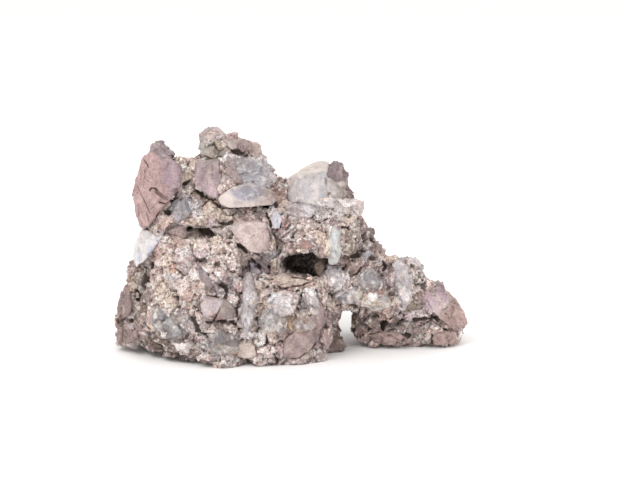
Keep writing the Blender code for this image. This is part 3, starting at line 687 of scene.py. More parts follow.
# Soil and silica that stained single stones: middle and radius in mm, colour
CLAST_STAINS = [
    ((-63, -12, 167), 11, (0.255, 0.220, 0.180)), ((-73, -6, 173), 7, (0.330, 0.330, 0.285)),
    ((-58, -67, 42), 6, (0.330, 0.205, 0.190)), ((-50, -63, 47), 6, (0.270, 0.225, 0.215)),
    ((20, -50, 12), 12, (0.300, 0.235, 0.230)), ((136, -6, 22), 9, (0.330, 0.235, 0.215)),
    ((-44, -18, 163), 10, (0.300, 0.240, 0.225)), ((-14, -30, 140), 12, (0.270, 0.200, 0.180)),
    ((2, -34, 132), 9, (0.360, 0.300, 0.290)), ((-4, -18, 145), 9, (0.360, 0.290, 0.270)),
    ((-33, -52, 72), 10, (0.210, 0.180, 0.180)), ((94, -8, 74), 10, (0.330, 0.280, 0.260)),
    ((-30, -22, 156), 14, (0.280, 0.268, 0.295)), ((-88, -22, 128), 11, (0.270, 0.260, 0.285)),
    ((66, -6, 98), 12, (0.200, 0.155, 0.150)), ((-66, -62, 64), 8, (0.250, 0.190, 0.190)),
    ((-124, -34, 36), 9, (0.170, 0.130, 0.110)), ((-105, -14, 140), 9, (0.330, 0.235, 0.175)),
    ((-142, -16, 40), 15, (0.235, 0.175, 0.165)), ((-138, -20, 16), 12, (0.240, 0.180, 0.170)),
    ((-112, -34, 92), 6, (0.360, 0.380, 0.470)), ((-122, -24, 84), 5, (0.420, 0.430, 0.500)),
    ((60, -24, 51), 6, (0.460, 0.410, 0.350)),
]


def soiled(colours, points):
    """A stone's colours with its stains, which have ragged rims."""
    return stained(colours, points, CLAST_STAINS, 1, 0.4 * rough(points, 7, 14))


# The spacing of a stone's points in mm
SHOULDER_SPACING, PORPHYRY_SPACING = 0.6, 1.1
points, triangles, edge = stone_skin(
    porphyry_forms["left_shoulder"], SHOULDER_SPACING, scooped, UNEVEN["left_shoulder"]
)
deep, dark = slotted(points)
inward = porphyry_forms["left_shoulder"][0] - points
points = points + inward / np.linalg.norm(inward, axis=1, keepdims=True) * deep[:, None]
across, up = np.array(SHOULDER_RIDGE)[::-1].T
beyond = points[:, 0] - np.interp(points[:, 2], up, across) + 3 * swell(points, 8, 4)
purple = PURPLE_STRENGTH * np.clip(beyond / RIDGE_WIDTH, 0, 1)
shade = chipped_and_highlit(drawn(np.array(porphyry_shades["left_shoulder"]), PURPLE, purple), points, edge, 0.2)
made_piece("left_shoulder", points, triangles, porphyry, shade, {"hollow": dark})

skins, shades = [], []
for name, form in porphyry_forms.items():
    if name != "left_shoulder":
        points, triangles, edge = stone_skin(form, PORPHYRY_SPACING, scooped, UNEVEN.get(name, 1.0))
        skins.append((draw_back(points, form[0]), triangles, edge))
        shades.append(porphyry_shades[name])
points, triangles, edge, owner = joined(skins)
light = 0.86 + 0.28 * broken(points, 6, 12)[2][:, None]
shade = soiled(chipped_and_highlit(np.array(shades)[owner] * light, points, edge, 0.55), points)
deep, dark = slotted(points)
points[:, 1] += deep
made_piece("porphyry_clasts", points, triangles, porphyry, shade, {"hollow": dark})


# Chalcedony: silica that filled the gaps between the broken stones, cloudy blue-white, grey or cream.
# It broke with the rock, so that banded blocks, pods and nodules show, smooth and waxy, some with a crust.
# Like the porphyry it is bedded in the groundmass.

CHALCEDONY_SHARDS = {
    "blue_core_sliver": (24, [
        (-57, -40, 137), (-53, -40, 142), (-46, -39, 147), (-33, -38, 149), (-23, -36, 146),
        (-14, -34, 141), (-11, -34, 135), (-15, -36, 131), (-28, -40, 131), (-47, -42, 130),
        (-55, -42, 132),
    ], "cream_pink"),
    "cream_fin": (18, [
        (-55, -30, 156), (-47, -33, 155), (-40, -34, 151), (-43, -35, 148), (-53, -35, 145),
        (-57, -33, 148),
    ], "fin_pink"),
    "banded_block": (28, [
        (-2, -10, 147), (0, -14, 148), (6, -14, 153), (11, -12, 156), (17, -8, 159), (23, -4, 161),
        (32, -8, 161), (29, -16, 157), (28, -27, 148), (28, -31, 142), (31, -34, 134),
        (27, -37, 130), (19, -37, 135), (9, -37, 134), (1, -35, 134), (-1, -28, 134), (22, -34, 145),
    ], "banded"),
    "banded_side": (22, [
        (30, -22, 151), (34, -16, 151), (38, -14, 145), (46, -10, 142), (46, -12, 135), (42, -22, 130),
        (33, -31, 131), (30, -28, 141),
    ], "smoky"),
    "pink_ledge": (24, [
        (17, -36, 136), (29, -34, 137), (46, -22, 132), (60, -12, 129), (62, -12, 122),
        (59, -16, 118), (50, -26, 120), (42, -34, 126), (29, -40, 130),
    ], "cream_pink"),
    "pale_lens": (16, [
        (-15, -36, 119), (-13, -34, 125), (-9, -34, 126), (-6, -37, 119), (-8, -39, 111),
        (-13, -38, 112),
    ], "blue_white"),
    "left_pod": (28, [
        (-125, -16, 104), (-118, -18, 107), (-109, -26, 108), (-104, -32, 105), (-108, -35, 99),
        (-115, -36, 93), (-121, -34, 83), (-128, -24, 76), (-132, -12, 83), (-130, -10, 92),
        (-117, -35, 97),
    ], "milky"),
    "neck_blue_cluster": (28, [
        (-54, -12, 167), (-41, -16, 166), (-23, -10, 166), (-20, -12, 160), (-15, -10, 154),
        (-11, -10, 147), (-19, -22, 143), (-31, -26, 146), (-40, -28, 146), (-47, -26, 157),
    ], "blue_grey"),
    "leg_blue_lump": (24, [
        (97, -4, 73), (103, 0, 77), (109, 2, 74), (112, 2, 68), (113, 0, 59), (105, -8, 59),
        (97, -10, 66),
    ], "blue_grey"),
    "icy_nodule": (26, [
        (-17, -60, 57), (-12, -57, 62), (-4, -56, 64), (6, -57, 59), (7, -61, 52), (1, -64, 46),
        (-12, -64, 47), (-5, -67, 57),
    ], "icy"),
    "inner_white": (22, [
        (13, -53, 62), (19, -51, 63), (24, -51, 53), (24, -54, 44), (19, -58, 43), (14, -59, 53),
    ], "dull_white"),
}

CHALCEDONY_STONES = {
    "botryoid": ((10, -26, 129), (32, 24, 22), (20, 0, 0), 14, 62, "blue_white"),
    "green_pod": ((37, -30, 98), (14, 20, 33), (0, 6, 0), 14, 64, "green_white"),
    "icy_nodule_low": ((-13, -51, 38), (24, 20, 26), (0, -20, 0), 12, 68, "glassy"),
    "honey_nodule": ((10, -48, 35), (26, 20, 24), (10, 0, 0), 14, 69, "honey"),
    "grey_eye": ((-92, -47, 33), (28, 20, 28), (0, 0, 0), 16, 70, "dark_glass"),
    "frosty_patch": ((-105, -41, 38), (27, 24, 25), (0, 30, 0), 11, 71, "frosty"),
    "low_white_chip": ((-85, -50, 16), (20, 15, 12), (0, 8, 0), 10, 72, "icy"),
    "low_grey_nodule": ((-56, -56, 21), (28, 22, 24), (0, 14, 0), 13, 73, "dark_glass"),
    "pale_fin": ((-34, -53, 54), (13, 22, 52), (0, 5, 14), 9, 74, "fin_lilac"),
    "leg_blue_eye": ((66, -16, 64), (22, 19, 22), (0, 0, 0), 15, 75, "slate_blue"),
    "leg_white_pair": ((38, -22, 66), (18, 17, 24), (0, -24, 0), 11, 76, "blue_white"),
    "leg_glass_pod": ((95, -15, 60), (16, 21, 42), (0, -10, 0), 12, 77, "blue_grey"),
    "leg_yellow_band": ((71, -16, 45), (26, 18, 14), (0, 6, 0), 11, 78, "yellow_white"),
    "left_blue_shards": ((-91, -19, 122), (22, 21, 26), (0, 20, 0), 12, 81, "blue_grey"),
    "bridge_blue": ((46, -17, 52), (28, 17, 18), (0, 12, 0), 13, 83, "blue_grey"),
    "back_pod": ((-106, 40, 66), (34, 32, 40), (0, -14, 160), 14, 84, "milky"),
    "back_glass": ((-18, 44, 92), (36, 30, 32), (0, 20, 180), 15, 85, "blue_white"),
    "back_foot_nodule": ((2, 46, 26), (42, 34, 36), (0, 0, 180), 16, 86, "grey"),
    "back_blue_lump": ((60, 32, 68), (34, 28, 30), (0, 0, 180), 16, 87, "blue_grey"),
    "back_neck_lump": ((-8, 30, 126), (30, 26, 28), (0, 20, 180), 14, 89, "icy"),
    "side_low_lump": ((-134, 18, 32), (26, 28, 32), (0, 0, 250), 14, 89, "grey"),
    "back_toe_lump": ((128, 36, 20), (32, 30, 28), (0, 0, 160), 13, 90, "cream_grey"),
    "back_crown_lump": ((-38, 20, 160), (30, 24, 28), (0, 20, 180), 14, 88, "blue_grey"),
}

CHALCEDONY_COLOURS = {
    "cream_pink": (0.560, 0.455, 0.425),
    "fin_pink": (0.420, 0.330, 0.310),
    "banded": (0.520, 0.485, 0.485),
    "smoky": (0.330, 0.292, 0.265),
    "blue_white": (0.500, 0.490, 0.515),
    "milky": (0.560, 0.545, 0.560),
    "blue_grey": (0.415, 0.395, 0.412),
    "slate_blue": (0.300, 0.300, 0.330),
    "icy": (0.590, 0.578, 0.585),
    "green_white": (0.500, 0.505, 0.490),
    "honey": (0.440, 0.320, 0.235),
    "fin_lilac": (0.450, 0.415, 0.425),
    "glassy": (0.400, 0.388, 0.372),
    "dull_white": (0.470, 0.425, 0.415),
    "dark_glass": (0.235, 0.215, 0.212),
    "grey": (0.295, 0.268, 0.262),
    "frosty": (0.370, 0.355, 0.342),
    "cream_grey": (0.380, 0.318, 0.305),
    "yellow_white": (0.500, 0.435, 0.350),
}


# Colours that the breaks of a chalcedony stone turn to, and how many of them do
SILICA_COLOURS = [
    ((0.760, 0.735, 0.725), 0.16), ((0.410, 0.395, 0.415), 0.15), ((0.230, 0.220, 0.235), 0.13),
    ((0.560, 0.470, 0.415), 0.12), ((0.330, 0.255, 0.240), 0.12),
]

# How light the rock is on average, by which the colours of breaks and grit are scaled to those round them
MEAN_LIGHT = 0.33


def mottled(colours, pick, choices, strength):
    """Colours drawn by that strength to one of the choices, where the break's number picks it."""
    limits = np.cumsum([share for _, share in choices])
    chosen = np.searchsorted(limits, pick)
    shown = np.vstack([[colour for colour, _ in choices], [(0, 0, 0)]])[chosen]
    light = np.clip(colours.mean(axis=1, keepdims=True) / MEAN_LIGHT, 0.2, 1.35)
    return drawn(colours, shown * light, strength * (chosen < len(choices)))


def waxy(points, edge):
    """Relief of broken chalcedony: flat breaks of two sizes, chipped edges and small pits."""
    breaks = 0.75 * broken(points, 9, 15)[0] + 0.75 * broken(points, 4, 16)[0] + 0.9 * swell(points, 9, 17)
    pits = np.clip(swell(points, 2.6, 18) - 0.45, 0, 1)
    return breaks - edge * np.clip(swell(points, 4, 19), 0, 1) - 2.0 * pits


# Chalcedony is cloudy at 11 mm under wisps of 6 to 8 mm, rusty in patches, specked with dirt, and sugary at
# 1.7 mm. The clean layered blocks are less rusty and less sugary.
chalcedony = Finish("chalcedony", specular_ior_level=0.5, subsurface_weight=0.08, subsurface_scale=0.003)
tint = chalcedony.mark("tint", "Color")
cloud = chalcedony.grain(0.011, detail=5, roughness=0.6, distortion=0.6)
colour = chalcedony.scaled(tint, 0.68 + 0.64 * cloud)
veil = chalcedony.grain(0.006, detail=4, roughness=0.6, distortion=1.2)
colour = chalcedony.mix(0.40 * veil.rise(0.52, 0.68), colour, (0.72, 0.70, 0.69))
deep = chalcedony.grain(0.008, detail=4, distortion=0.8).rise(0.54, 0.68)
colour = chalcedony.mix(0.40 * deep, colour, (0.20, 0.195, 0.215))
rust = chalcedony.grain(0.010, detail=6, roughness=0.72).rise(0.53, 0.66)
rust = rust * (1 - 0.6 * chalcedony.mark("clean"))
colour = chalcedony.mix(0.38 * rust, colour, (0.40, 0.31, 0.27))
specks = 1 - chalcedony.flecks(0.0024).rise(0.09, 0.20)
specks = specks * chalcedony.grain(0.010).rise(0.46, 0.56)
colour = chalcedony.mix(0.65 * specks, colour, (0.13, 0.09, 0.075))
colour = chalcedony.mix(chalcedony.mark("hollow").rise(0.15, 0.95) * 0.8, colour, SOIL_AND_SHADE)
sugar = chalcedony.grain(0.0017, detail=4, roughness=0.7)
coarse = 1 - 0.75 * chalcedony.mark("clean")
colour = chalcedony.scaled(colour, 1 + coarse * (0.50 * sugar.rise(0.32, 0.68) - 0.25))
height = 0.5 * sugar + 0.5 * chalcedony.ridged(0.005) + 0.3 * veil
chalcedony.wear(colour, 0.26 + 0.34 * cloud, chalcedony.dent(height, 0.0008, 0.8))

chalcedony_forms, chalcedony_shades = forms_and_shades(
    CHALCEDONY_SHARDS, CHALCEDONY_STONES, ROUND_REACH, None, CHALCEDONY_COLOURS
)

# The silica set in layers in some blocks: the layers' direction, their width in mm and their colours in turn
LAYERS = {
    "banded_block": ((0.97, 0.0, 0.24), 4.6, [
        (0.43, 0.41, 0.43), (0.47, 0.43, 0.42), (0.38, 0.365, 0.395), (0.48, 0.44, 0.43),
        (0.40, 0.385, 0.415), (0.45, 0.42, 0.42), (0.36, 0.35, 0.38),
    ]),
    "left_pod": ((0.90, 0.0, -0.44), 6.0, [
        (0.66, 0.65, 0.66), (0.43, 0.46, 0.55), (0.60, 0.58, 0.57), (0.62, 0.60, 0.585), (0.60, 0.585, 0.575),
    ]),
    "banded_side": ((0.85, 0.0, -0.5), 8.0, [
        (0.27, 0.225, 0.20), (0.38, 0.34, 0.315), (0.47, 0.44, 0.43), (0.31, 0.265, 0.245),
    ]),
    "pale_lens": ((0.95, 0.0, 0.30), 3.0, [(0.50, 0.49, 0.54), (0.58, 0.57, 0.61), (0.44, 0.43, 0.49)]),
    "green_pod": ((0.90, 0.0, 0.40), 5.0, [(0.47, 0.485, 0.485), (0.58, 0.585, 0.575), (0.41, 0.42, 0.43)]),
    "blue_core_sliver": ((0.2, 0.0, 1.0), 5.0, [
        (0.49, 0.41, 0.39), (0.53, 0.44, 0.41), (0.46, 0.385, 0.375),
    ]),
}

# What the listed colours are toned by, and the breaks that are coloured: size in mm, seed and strength
CHALCEDONY_TONE = (0.925, 0.885, 0.885)
CHALCEDONY_BREAKS = ((9, 15, 0.60), (4, 16, 0.45), (2.2, 20, 0.22))

CHALCEDONY_SPACING, SHOWN_SPACING = 1.1, 0.75
skins, shades = [], []
for name, form in chalcedony_forms.items():
    if name not in LAYERS:
        points, triangles, edge = stone_skin(form, CHALCEDONY_SPACING, waxy, UNEVEN.get(name, 1.0))
        skins.append((draw_back(points, form[0]), triangles, edge))
        shades.append(chalcedony_shades[name])
points, triangles, edge, owner = joined(skins)
shade = np.array(shades)[owner] * CHALCEDONY_TONE
for size, seed, strength in CHALCEDONY_BREAKS:
    shade = mottled(shade, broken(points, size, seed)[2], SILICA_COLOURS, strength)
marks = {"hollow": 0, "clean": 0}
made_piece("chalcedony_clasts", points, triangles, chalcedony, soiled(shade, points), marks)


def layered(points, direction, width, colours):
    """Colours in wavy layers: the place along the direction, bent by noise, picks between neighbours in
    the list."""
    along = (points @ np.array(direction) + 3 * rough(points, 14, 61)) / width
    along += 1.1 * rough(points * (2.5, 1, 0.4), 7, 64)
    step = np.floor(along).astype(np.int64)
    part = (along - step)[:, None]
    layers = np.array(colours)
    return layers[step % len(layers)] * (1 - part) + layers[(step + 1) % len(layers)] * part


# The sliver's blue core, as an ellipsoid with a soft rim, and the cream top of the banded block above a height
CORE_MIDDLE, CORE_REACH, CORE_COLOUR = (-32, -36, 142), (16, 40, 6.5), (0.235, 0.225, 0.258)
CORE_EDGE, CORE_RIM = 1.15, 0.45
CREAM_HEIGHT, CREAM_RIM, CREAM_STRENGTH, CREAM_TOP = 151, 5, 0.7, (0.54, 0.465, 0.40)

for name, (direction, width, colours) in LAYERS.items():
    points, triangles, edge = stone_skin(chalcedony_forms[name], SHOWN_SPACING, waxy, UNEVEN[name])
    shade = layered(points, direction, width, colours)
    if name == "banded_block":
        above = points[:, 2] - CREAM_HEIGHT + 3 * swell(points, 6, 66)
        shade = drawn(shade, CREAM_TOP, CREAM_STRENGTH * np.clip(above / CREAM_RIM, 0, 1))
    if name == "blue_core_sliver":
        away = np.sqrt((((points - CORE_MIDDLE) / CORE_REACH) ** 2).sum(axis=1)) + 0.25 * rough(points, 6, 67)
        shade = drawn(shade, CORE_COLOUR, np.clip((CORE_EDGE - away) / CORE_RIM, 0, 1))
    shade = soiled(chipped_and_highlit(shade, points, edge, 0.6), points)
    made_piece(name, points, triangles, chalcedony, shade, {"hollow": 0, "clean": 1})


# Groundmass: sand, silt and small grains of both stones, cemented by silica to a hard grey-brown crust.
# It fills all between the broken stones, and weather has opened pits and crevices in it, which hold soil and
# are darkened by painted shade.
# It is the imported solid's own skin, made finer, roughened, and sunk where a stone stands out of it.

# In mm: the voxels of the front and the back half, the Y where these meet and how far each goes past it, and
# how near the imported solid's corners are merged
FRONT_VOXEL, BACK_VOXEL, SEAM, SEAM_OVERLAP, WELD = 1.02, 1.35, 6, 1.2, 0.01

# The groundmass's own colour, how strong its stains are, and each: middle and radius in mm, colour
GROUND, GROUND_STAINING = (0.500, 0.380, 0.342), 1.15
# Some of these are painted shade and painted light, as marked
STAINS_SHADE_AND_LIGHT = [
    ((-72, -40, 100), 22, (0.740, 0.600, 0.555)), ((-100, -36, 88), 18, (0.560, 0.425, 0.395)),
    ((-95, -48, 64), 16, (0.640, 0.538, 0.422)), ((-92, -52, 52), 12, (0.740, 0.650, 0.510)),
    # Painted shade with some soil: the dark stains on the left flank, here and at (-130, -22, 56) and (-124,
    # -34, 36)
    ((-134, -20, 40), 20, (0.270, 0.200, 0.170)), ((-128, -24, 70), 14, (0.190, 0.140, 0.120)),
    ((-50, -58, 68), 14, (0.500, 0.410, 0.400)), ((-60, -62, 30), 18, (0.350, 0.265, 0.235)),
    ((-130, -22, 56), 10, (0.170, 0.125, 0.105)), ((-86, -18, 158), 12, (0.740, 0.610, 0.490)),
    ((-38, -10, 170), 12, (0.300, 0.240, 0.220)), ((-68, -20, 140), 9, (0.422, 0.282, 0.179)),
    ((-70, -30, 124), 18, (0.660, 0.550, 0.440)), ((-84, -30, 116), 10, (0.430, 0.315, 0.275)),
    # Painted shade: the dark stain in the dark pit, at (-78, -36, 110)
    ((-106, -32, 112), 11, (0.350, 0.255, 0.235)), ((-78, -36, 110), 12, (0.150, 0.100, 0.095)),
    ((-30, -30, 126), 14, (0.500, 0.405, 0.360)), ((-40, -2, 174), 14, (0.440, 0.360, 0.330)),
    ((-60, -10, 168), 10, (0.320, 0.256, 0.230)), ((10, -34, 112), 22, (0.500, 0.418, 0.390)),
    ((36, -32, 122), 14, (0.720, 0.640, 0.610)), ((-4, -38, 104), 9, (0.422, 0.282, 0.275)),
    ((46, -34, 100), 12, (0.270, 0.220, 0.175)), ((62, -10, 96), 16, (0.140, 0.100, 0.090)),
    ((80, -4, 88), 10, (0.160, 0.120, 0.105)), ((-22, -50, 80), 16, (0.390, 0.320, 0.305)),
    ((-30, -42, 74), 12, (0.230, 0.190, 0.190)), ((-28, -52, 62), 7, (0.200, 0.165, 0.165)),
    ((66, -16, 34), 8, (0.450, 0.360, 0.320)), ((8, -44, 70), 16, (0.620, 0.485, 0.400)),
    ((14, -48, 34), 14, (0.600, 0.450, 0.350)), ((-24, -58, 30), 12, (0.640, 0.540, 0.490)),
    ((28, -44, 20), 16, (0.540, 0.400, 0.380)), ((38, -14, 16), 12, (0.340, 0.260, 0.235)),
    ((48, -18, 44), 10, (0.620, 0.500, 0.420)), ((74, -16, 76), 20, (0.397, 0.326, 0.307)),
    # Painted shade: the dark stains in the leg crevice, at (96, -18, 24) and on the next line at (78, -8, 18)
    ((86, -16, 40), 18, (0.510, 0.410, 0.350)), ((96, -18, 24), 22, (0.185, 0.135, 0.115)),
    ((78, -8, 18), 14, (0.190, 0.135, 0.110)), ((56, -8, 22), 10, (0.230, 0.170, 0.150)),
    # Painted shadow: the near-black stain in the front cave, at (9, -12, 78)
    ((118, -10, 20), 14, (0.410, 0.290, 0.260)), ((9, -12, 78), 20, (0.030, 0.020, 0.015)),
    ((-110, -30, 6), 26, (0.200, 0.145, 0.125)), ((0, -50, 4), 30, (0.400, 0.310, 0.280)),
    ((52, -12, 28), 9, (0.130, 0.095, 0.080)), ((92, -10, 78), 10, (0.360, 0.290, 0.270)),
    ((-124, -34, 36), 11, (0.160, 0.120, 0.100)), ((-84, -22, 126), 12, (0.290, 0.250, 0.240)),
    ((-14, -38, 96), 12, (0.560, 0.470, 0.430)), ((-14, -52, 66), 10, (0.600, 0.510, 0.460)),
    # Painted light: the pale stain at (38, -22, 46), where the rock lies in shadow below the leg's white pair
    ((-83, -30, 101), 9, (0.660, 0.560, 0.520)), ((38, -22, 46), 9, (0.620, 0.500, 0.430)),
    ((-80, -50, 14), 26, (0.360, 0.275, 0.245)),
]


# Fragments in the face of the rock: middle, width and height in mm, and colour
FRAGMENTS = [
    ((-97, -27, 107), 7, 9, "purple"), ((-83, -22, 105), 14, 5, "cream"),
    ((-92, -38, 100), 12, 8, "tan_pink"), ((-77, -41, 99), 9, 9, "cream"),
    ((-68, -42, 98), 10, 9, "white_pink"), ((-60, -42, 102), 10, 6, "straw"),
    ((-109, -33, 90), 8, 11, "rose"), ((-86, -47, 93), 7, 7, "white"), ((-76, -46, 93), 12, 8, "lilac"),
    ((-101, -42, 87), 10, 12, "cream"), ((-95, -49, 82), 7, 7, "rust"),
    ((-83, -52, 82), 12, 11, "lilac_grey"), ((-96, -51, 73), 11, 7, "ice"),
    ((-88, -55, 67), 14, 11, "white_pink"), ((-106, -49, 65), 11, 11, "straw"),
    ((-99, -52, 56), 13, 10, "straw"), ((-81, -57, 63), 14, 11, "tan_pink"),
    ((-108, -50, 41), 10, 10, "ice"), ((-113, -49, 32), 12, 9, "cream"), ((-131, -26, 43), 8, 10, "grey"),
    ((-133, -13, 60), 6, 12, "ochre"), ((-123, -42, 46), 7, 8, "umber"),
    ((-118, -37, 54), 6, 7, "dark_grey"), ((-142, -14, 48), 5, 8, "rose"),
    ((-87, -56, 45), 12, 7, "lilac_grey"), ((-69, -61, 19), 7, 7, "ice"), ((-61, -67, 45), 11, 5, "rose"),
    ((-53, -66, 50), 10, 7, "dark_grey"), ((-52, -55, 70), 12, 10, "slate"),
    ((-60, -61, 65), 8, 7, "slate"), ((-125, -31, 24), 10, 12, "mauve_brown"),
    ((-139, -23, 17), 10, 9, "mauve_brown"), ((-142, -19, 34), 8, 11, "dark_mauve"),
    ((-134, -27, 19), 6, 8, "tan_pink"), ((-108, -42, 16), 21, 7, "umber"), ((-36, -33, 88), 8, 7, "cream"),
    ((-46, -46, 89), 10, 14, "white_pink"), ((-27, -33, 78), 11, 13, "slate"),
    ((-33, -53, 78), 7, 9, "dark_slate"), ((-20, -32, 81), 6, 8, "slate"), ((-11, -30, 81), 7, 9, "cream"),
    ((-4, -32, 74), 8, 7, "lilac"), ((-8, -52, 71), 21, 8, "tan"), ((9, -46, 68), 16, 7, "tan_pink"),
    ((-23, -53, 61), 8, 7, "tan"), ((-4, -54, 64), 14, 6, "mauve"), ((-12, -59, 43), 11, 12, "ice"),
    ((-22, -53, 50), 10, 12, "cream"), ((13, -49, 53), 8, 13, "blue_grey"), ((19, -53, 57), 7, 14, "cream"),
    ((6, -57, 35), 16, 11, "honey"), ((13, -50, 24), 20, 8, "mauve"), ((29, -42, 34), 9, 23, "mauve_brown"),
    ((-34, -57, 27), 11, 7, "ice"), ((-36, -56, 16), 16, 7, "tan"), ((-42, -57, 11), 15, 6, "tan_pink"),
    ((-23, -54, 23), 8, 11, "white"), ((-18, -55, 13), 12, 7, "white_pink"),
    ((-12, -57, 29), 8, 10, "straw"), ((34, -28, 71), 9, 13, "white"), ((41, -30, 61), 10, 8, "white"),
    ((24, -41, 67), 9, 7, "cream"), ((33, -23, 44), 13, 9, "cream"), ((37, -19, 33), 12, 8, "dark_mauve"),
    ((39, -14, 11), 12, 10, "umber"), ((27, -44, 17), 11, 10, "mauve"), ((1, -53, 16), 18, 7, "mauve"),
    ((50, -32, 96), 10, 13, "olive"), ((46, -30, 107), 4, 9, "olive"), ((53, -26, 108), 7, 12, "grey"),
    ((64, -6, 105), 8, 10, "dark_mauve"), ((65, -17, 85), 8, 6, "blue_slate"),
    ((74, -4, 88), 10, 8, "dark_mauve"), ((72, -13, 82), 12, 5, "tan"),
    ((55, -23, 76), 14, 10, "mauve_brown"), ((47, -25, 87), 9, 7, "umber"), ((47, -26, 70), 8, 8, "ice"),
    ((72, -22, 69), 8, 8, "lilac_grey"), ((86, -9, 80), 19, 6, "tan"),
    ((83, -11, 74), 12, 10, "dark_mauve"), ((84, -15, 63), 9, 9, "lilac"), ((98, -25, 55), 8, 9, "white"),
    ((48, -25, 52), 17, 9, "blue_white"), ((55, -21, 59), 11, 8, "white_pink"),
    ((72, -18, 53), 13, 6, "rose"), ((61, -22, 48), 7, 8, "straw"), ((71, -24, 47), 13, 7, "white_pink"),
    ((89, -15, 44), 9, 8, "cream"), ((80, -15, 35), 9, 15, "tan_pink"),
    ((91, -15, 39), 8, 11, "lilac_grey"), ((102, -12, 41), 15, 11, "olive"),
    ((100, -13, 32), 14, 8, "lilac"), ((112, -10, 34), 11, 8, "lilac_grey"),
    ((56, -10, 25), 9, 12, "umber"), ((61, -6, 14), 12, 9, "mauve_brown"),
    ((76, -11, 14), 15, 10, "mauve_brown"), ((72, -8, 8), 9, 7, "rust"),
    ((89, -12, 12), 19, 9, "dark_mauve"), ((109, -7, 15), 12, 10, "dark_grey"),
    ((103, -9, 20), 12, 6, "grey"), ((115, -7, 10), 9, 8, "grey"), ((121, -6, 17), 10, 7, "tan_pink"),
    ((-4, -30, 130), 7, 8, "tan"), ((-4, -33, 117), 7, 7, "rose"), ((-6, -36, 105), 9, 13, "dark_mauve"),
    ((12, -37, 131), 9, 11, "blue_white"), ((4, -36, 128), 7, 8, "lilac"),
    ((19, -35, 126), 8, 9, "blue_slate"), ((27, -33, 122), 16, 12, "white"),
    ((38, -32, 124), 13, 12, "white"), ((52, -22, 126), 11, 13, "white_pink"),
    ((-11, -22, 137), 12, 15, "red_brown"), ((2, -36, 105), 7, 5, "white"), ((11, -35, 109), 7, 6, "cream"),
    ((21, -32, 114), 9, 7, "mauve_brown"), ((27, -35, 105), 12, 11, "tan"),
    ((37, -28, 117), 7, 12, "dark_grey"), ((48, -25, 118), 10, 12, "cream"), ((18, -40, 94), 12, 7, "grey"),
    ((33, -37, 96), 9, 13, "cream"), ((-12, -29, 101), 7, 16, "tan"), ((-13, -30, 90), 7, 6, "blue_grey"),
    ((-71, -6, 177), 8, 7, "grey"), ((-60, -12, 175), 12, 8, "olive"), ((-68, -13, 169), 7, 9, "umber"),
    ((-45, -4, 178), 14, 10, "pink"), ((-33, -1, 175), 12, 9, "tan"), ((-25, 2, 174), 7, 13, "mauve"),
    ((-52, -10, 168), 7, 7, "white"), ((-43, -17, 165), 7, 6, "blue_grey"),
    ((-27, -11, 166), 11, 8, "blue_white"), ((-36, -19, 161), 9, 11, "blue_white"),
    ((-26, -16, 158), 9, 11, "ice"), ((-16, -12, 152), 10, 10, "grey"),
    ((-33, -22, 154), 9, 7, "blue_grey"), ((-23, -20, 149), 9, 5, "blue_slate"),
    ((-41, -27, 155), 7, 11, "red_brown"), ((-51, -34, 151), 7, 8, "mauve"),
    ((-53, -37, 140), 9, 7, "pink"), ((-88, -13, 159), 7, 7, "white"), ((-93, -14, 164), 11, 6, "cream"),
    ((-81, -13, 158), 5, 13, "cream"), ((-86, -14, 151), 7, 12, "straw"),
    ((-85, -24, 130), 7, 12, "blue_white"), ((-91, -29, 125), 8, 11, "blue_grey"),
    ((-78, -23, 127), 8, 12, "ice"), ((-68, -22, 129), 10, 7, "straw"), ((-62, -25, 123), 13, 10, "straw"),
    ((-52, -26, 121), 10, 8, "cream"), ((-44, -25, 125), 8, 7, "dark_grey"),
    ((-36, -26, 123), 12, 8, "mauve_brown"), ((-23, -27, 123), 9, 12, "dark_grey"),
    ((-82, -26, 116), 20, 5, "tan"), ((-56, -31, 108), 12, 8, "grey"), ((-64, -27, 115), 8, 7, "lilac"),
    ((-108, -30, 121), 10, 7, "mauve_brown"), ((-103, -33, 117), 12, 8, "tan_pink"),
    ((-102, -11, 170), 11, 7, "dark_grey"),
]

FRAGMENT_COLOURS = {
    "purple": (0.260, 0.170, 0.200), "cream": (0.640, 0.550, 0.480), "tan_pink": (0.500, 0.385, 0.340),
    "white_pink": (0.700, 0.620, 0.600), "straw": (0.610, 0.530, 0.450), "rose": (0.440, 0.280, 0.260),
    "white": (0.720, 0.700, 0.700), "lilac": (0.460, 0.390, 0.410), "rust": (0.480, 0.320, 0.250),
    "lilac_grey": (0.420, 0.370, 0.380), "ice": (0.600, 0.600, 0.630), "grey": (0.420, 0.380, 0.360),
    "ochre": (0.480, 0.370, 0.230), "umber": (0.170, 0.125, 0.100), "dark_grey": (0.260, 0.220, 0.215),
    "slate": (0.170, 0.150, 0.170), "dark_slate": (0.130, 0.120, 0.150), "mauve_brown": (0.330, 0.250, 0.240),
    "dark_mauve": (0.250, 0.190, 0.195), "tan": (0.510, 0.420, 0.365), "mauve": (0.390, 0.300, 0.310),
    "blue_grey": (0.430, 0.440, 0.490), "honey": (0.500, 0.370, 0.230), "olive": (0.230, 0.195, 0.155),
    "blue_slate": (0.290, 0.300, 0.350), "blue_white": (0.540, 0.550, 0.610),
    "red_brown": (0.280, 0.185, 0.160), "pink": (0.480, 0.360, 0.345),
}
